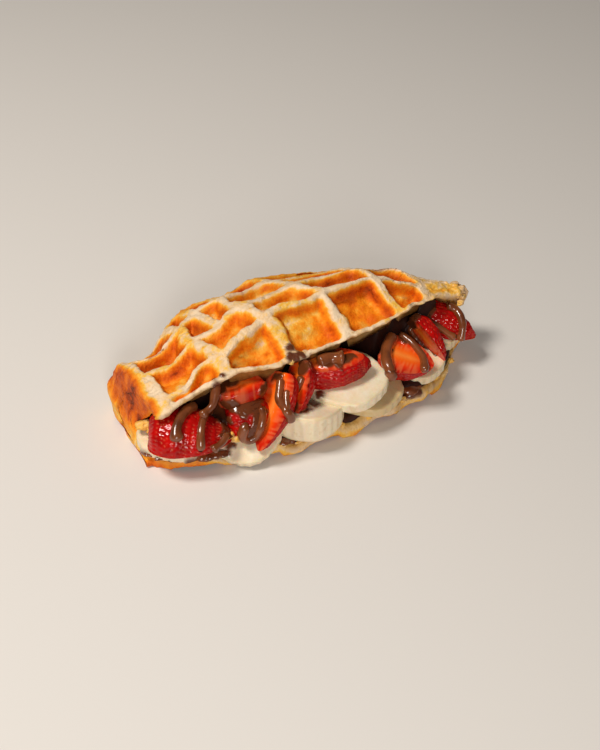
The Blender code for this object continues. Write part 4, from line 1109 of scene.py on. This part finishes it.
# One strand hangs free from the rim to the first berry: its points in millimetres.
BRIDGE = (
    (-51.5, -7.5, 37.0),
    (-53.0, -11.5, 35.5),
    (-55.0, -14.0, 32.5),
    (-57.0, -16.0, 30.0),
    (-60.5, -17.0, 28.5),
    (-64.0, -18.5, 28.3),
)
bridge_steps = np.linspace(0.0, len(BRIDGE) - 1.0, 60)
bridge = through(range(len(BRIDGE)), BRIDGE, np.repeat(bridge_steps[:, None], 3, axis=1))
tube_piece("drizzle_bridge", strand_rings(bridge, 1.9, 320), CHOCOLATE, {})

for name, strands in STRANDS.items():
    for number, (thick, path) in enumerate(strands):
        rings = strand_rings(strand_path(BERRIES[name], path, thick), thick, 300 + number)
        tube_piece(f"drizzle_{name}_{number + 1}", rings, CHOCOLATE, {})

# ---------------------------------------------------------------------------------------------------
# Crumbs and pools: torn bits of the pastry's pale yellow crumb on the rim, the base's edge and the tip,
# and small pools of sauce that ran out from under the fruit on to the base. All are uneven lumps.
# ---------------------------------------------------------------------------------------------------
# Each crumb's centre and radius in millimetres; a pool has how flat it is after them.
CRUMB_FLAT, CRUMB_RAGGED, POOL_RAGGED = 0.85, 0.5, 0.3
CRUMBS = (
    (-82.5, 0.5, 15.5, 2.6),
    (-80.5, -3.0, 14.2, 1.5),
    (-52.0, -22.0, 15.0, 2.3),
    (-49.5, -23.5, 13.2, 1.8),
    (-54.0, -19.5, 16.0, 1.5),
    (-12.0, -12.5, 38.6, 1.6),
    (-9.0, -11.5, 38.4, 1.3),
    (-16.5, -13.5, 37.6, 1.2),
    (86.5, 2.0, 33.2, 2.4),
    (88.0, 5.0, 31.6, 2.2),
    (86.0, -0.5, 31.0, 2.0),
    (87.6, 1.2, 29.4, 1.8),
    (84.0, -3.0, 29.5, 1.5),
    (85.0, 5.5, 34.0, 2.0),
    (-29.0, -29.5, 5.5, 1.6),
    (-21.0, -31.5, 5.2, 1.4),
    (2.0, -31.0, 6.0, 1.3),
    (15.0, -32.0, 6.5, 1.5),
    (36.0, -30.0, 7.0, 1.4),
    (58.0, -24.0, 8.0, 1.6),
    (71.0, -18.0, 9.0, 1.5),
)
POOLS = (
    (-83.5, -8.5, 6.6, 2.4, 0.45),
    (-80.5, -12.5, 5.8, 2.2, 0.45),
    (-76.5, -15.5, 5.8, 1.8, 0.45),
    (-63.5, -21.3, 6.8, 3.6, 0.5),
    (-59.0, -22.5, 7.2, 3.8, 0.5),
    (-55.5, -23.5, 7.0, 2.4, 0.55),
    (-27.0, -28.5, 6.3, 2.6, 0.45),
    (-23.5, -29.5, 6.0, 1.8, 0.5),
    (31.0, -29.0, 8.0, 2.6, 0.45),
    (42.0, -27.0, 8.6, 3.6, 0.45),
    (46.5, -26.0, 8.8, 2.4, 0.5),
)


def lump(x, y, z, radius, flat, ragged, seed):
    """A closed uneven ball: latitude rings whose radius swells by noise of their direction, pressed flat."""
    rise = np.linspace(0.0, np.pi, 17)[1:-1, None]
    around = np.linspace(0.0, 2.0 * np.pi, 24, endpoint=False)[None, :]
    level = np.sin(rise)
    way = np.stack(
        np.broadcast_arrays(level * np.cos(around), level * np.sin(around), np.cos(rise)), -1
    )
    swell = 1.0 + ragged * rough(way + seed, 0.8, seed, 3)
    return closed_tube(np.array([x, y, z]) + way * swell[..., None] * radius * np.array([1.15, 0.9, flat]))


def lumps_piece(name, lumps, ragged, finish, masks):
    """All the lumps as one mesh, each closed on its own."""
    points, faces, start = [], [], 0
    for seed, sizes in enumerate(lumps):
        own, quads = lump(*sizes, ragged, seed + 400)
        points.append(own)
        faces.append(quads + start)
        start += len(own)
    points = np.concatenate(points)
    values = {mask: np.full(len(points), value) for mask, value in masks.items()}
    return finished_piece(name, points, np.concatenate(faces), finish, values)


crumb_lumps = [(*crumb, CRUMB_FLAT) for crumb in CRUMBS]
crumb_masks = {"bake_and_shade": 0.16, "cut": 0.25, "sauce": 0.0}
lumps_piece("crumbs", crumb_lumps, CRUMB_RAGGED, CRUST, crumb_masks)
lumps_piece("sauce_pools", POOLS, POOL_RAGGED, CHOCOLATE, {})

# ---------------------------------------------------------------------------------------------------
# The studio: a pale matt floor, a soft lamp high on the left, a weaker one low in front, and a camera
# that looks down on the open side from the left.
# ---------------------------------------------------------------------------------------------------
FLOOR_HALF = 3.0
floor_corners = [(FLOOR_HALF * x, FLOOR_HALF * y, 0.0) for x, y in ((-1, -1), (1, -1), (1, 1), (-1, 1))]
floor_mesh = bpy.data.meshes.new("studio_floor")
floor_mesh.from_pydata(floor_corners, [], [(0, 1, 2, 3)])
matt = Finish("studio_floor_paint", 0.7)
matt.shader.inputs["Base Color"].default_value = (0.80, 0.76, 0.72, 1.0)
floor_mesh.materials.append(matt.material)
studio_floor = bpy.data.objects.new("studio_floor", floor_mesh)
bpy.context.scene.collection.objects.link(studio_floor)

world = bpy.data.worlds.new("studio")
world.use_nodes = True
world.node_tree.nodes["Background"].inputs["Color"].default_value = (1.0, 0.94, 0.87, 1.0)
world.node_tree.nodes["Background"].inputs["Strength"].default_value = 0.09
bpy.context.scene.world = world


def facing(back, at, roll=0.0):
    """The matrix of something at a place in metres that looks against back, its top rolled in radians."""
    level = np.cross((0.0, 0.0, 1.0), back)
    level /= np.linalg.norm(level)
    rise = np.cross(back, level)
    right = np.cos(roll) * level + np.sin(roll) * rise
    up = -np.sin(roll) * level + np.cos(roll) * rise
    return Matrix(np.vstack([np.column_stack([right, up, back, at]), [0, 0, 0, 1]]).tolist())


def soft_lamp(name, at, size, watts, colour):
    """A square area lamp at a place in metres, turned to face the croffle."""
    lamp = bpy.data.lights.new(name, "AREA")
    lamp.size, lamp.energy, lamp.color = size, watts, colour
    made = bpy.data.objects.new(name, lamp)
    bpy.context.scene.collection.objects.link(made)
    made.matrix_world = facing(np.array(at) / np.linalg.norm(at), at)


soft_lamp("lamp_key", (-0.55, 0.12, 1.0), 0.28, 9.0, (1.0, 0.95, 0.88))
soft_lamp("lamp_front", (-0.5, -0.95, 0.55), 0.35, 6.0, (1.0, 0.97, 0.92))

AZIMUTH, ELEVATION, ROLL = np.radians((-32.0, 40.58, 3.575))
TARGET, DISTANCE, LENS, SENSOR = np.array([-0.00498, -0.00894, 0.014]), 0.60, 61.57, 36.0
away = np.array(
    [np.sin(AZIMUTH) * np.cos(ELEVATION), -np.cos(AZIMUTH) * np.cos(ELEVATION), np.sin(ELEVATION)]
)
camera_data = bpy.data.cameras.new("camera")
camera_data.sensor_fit = "VERTICAL"
camera_data.sensor_height = camera_data.sensor_width = SENSOR
camera_data.lens, camera_data.clip_start = LENS, 0.01
camera = bpy.data.objects.new("camera", camera_data)
bpy.context.scene.collection.objects.link(camera)
camera.matrix_world = facing(away, TARGET + away * DISTANCE, ROLL)
bpy.context.scene.camera = camera
bpy.context.scene.view_settings.view_transform = "Standard"
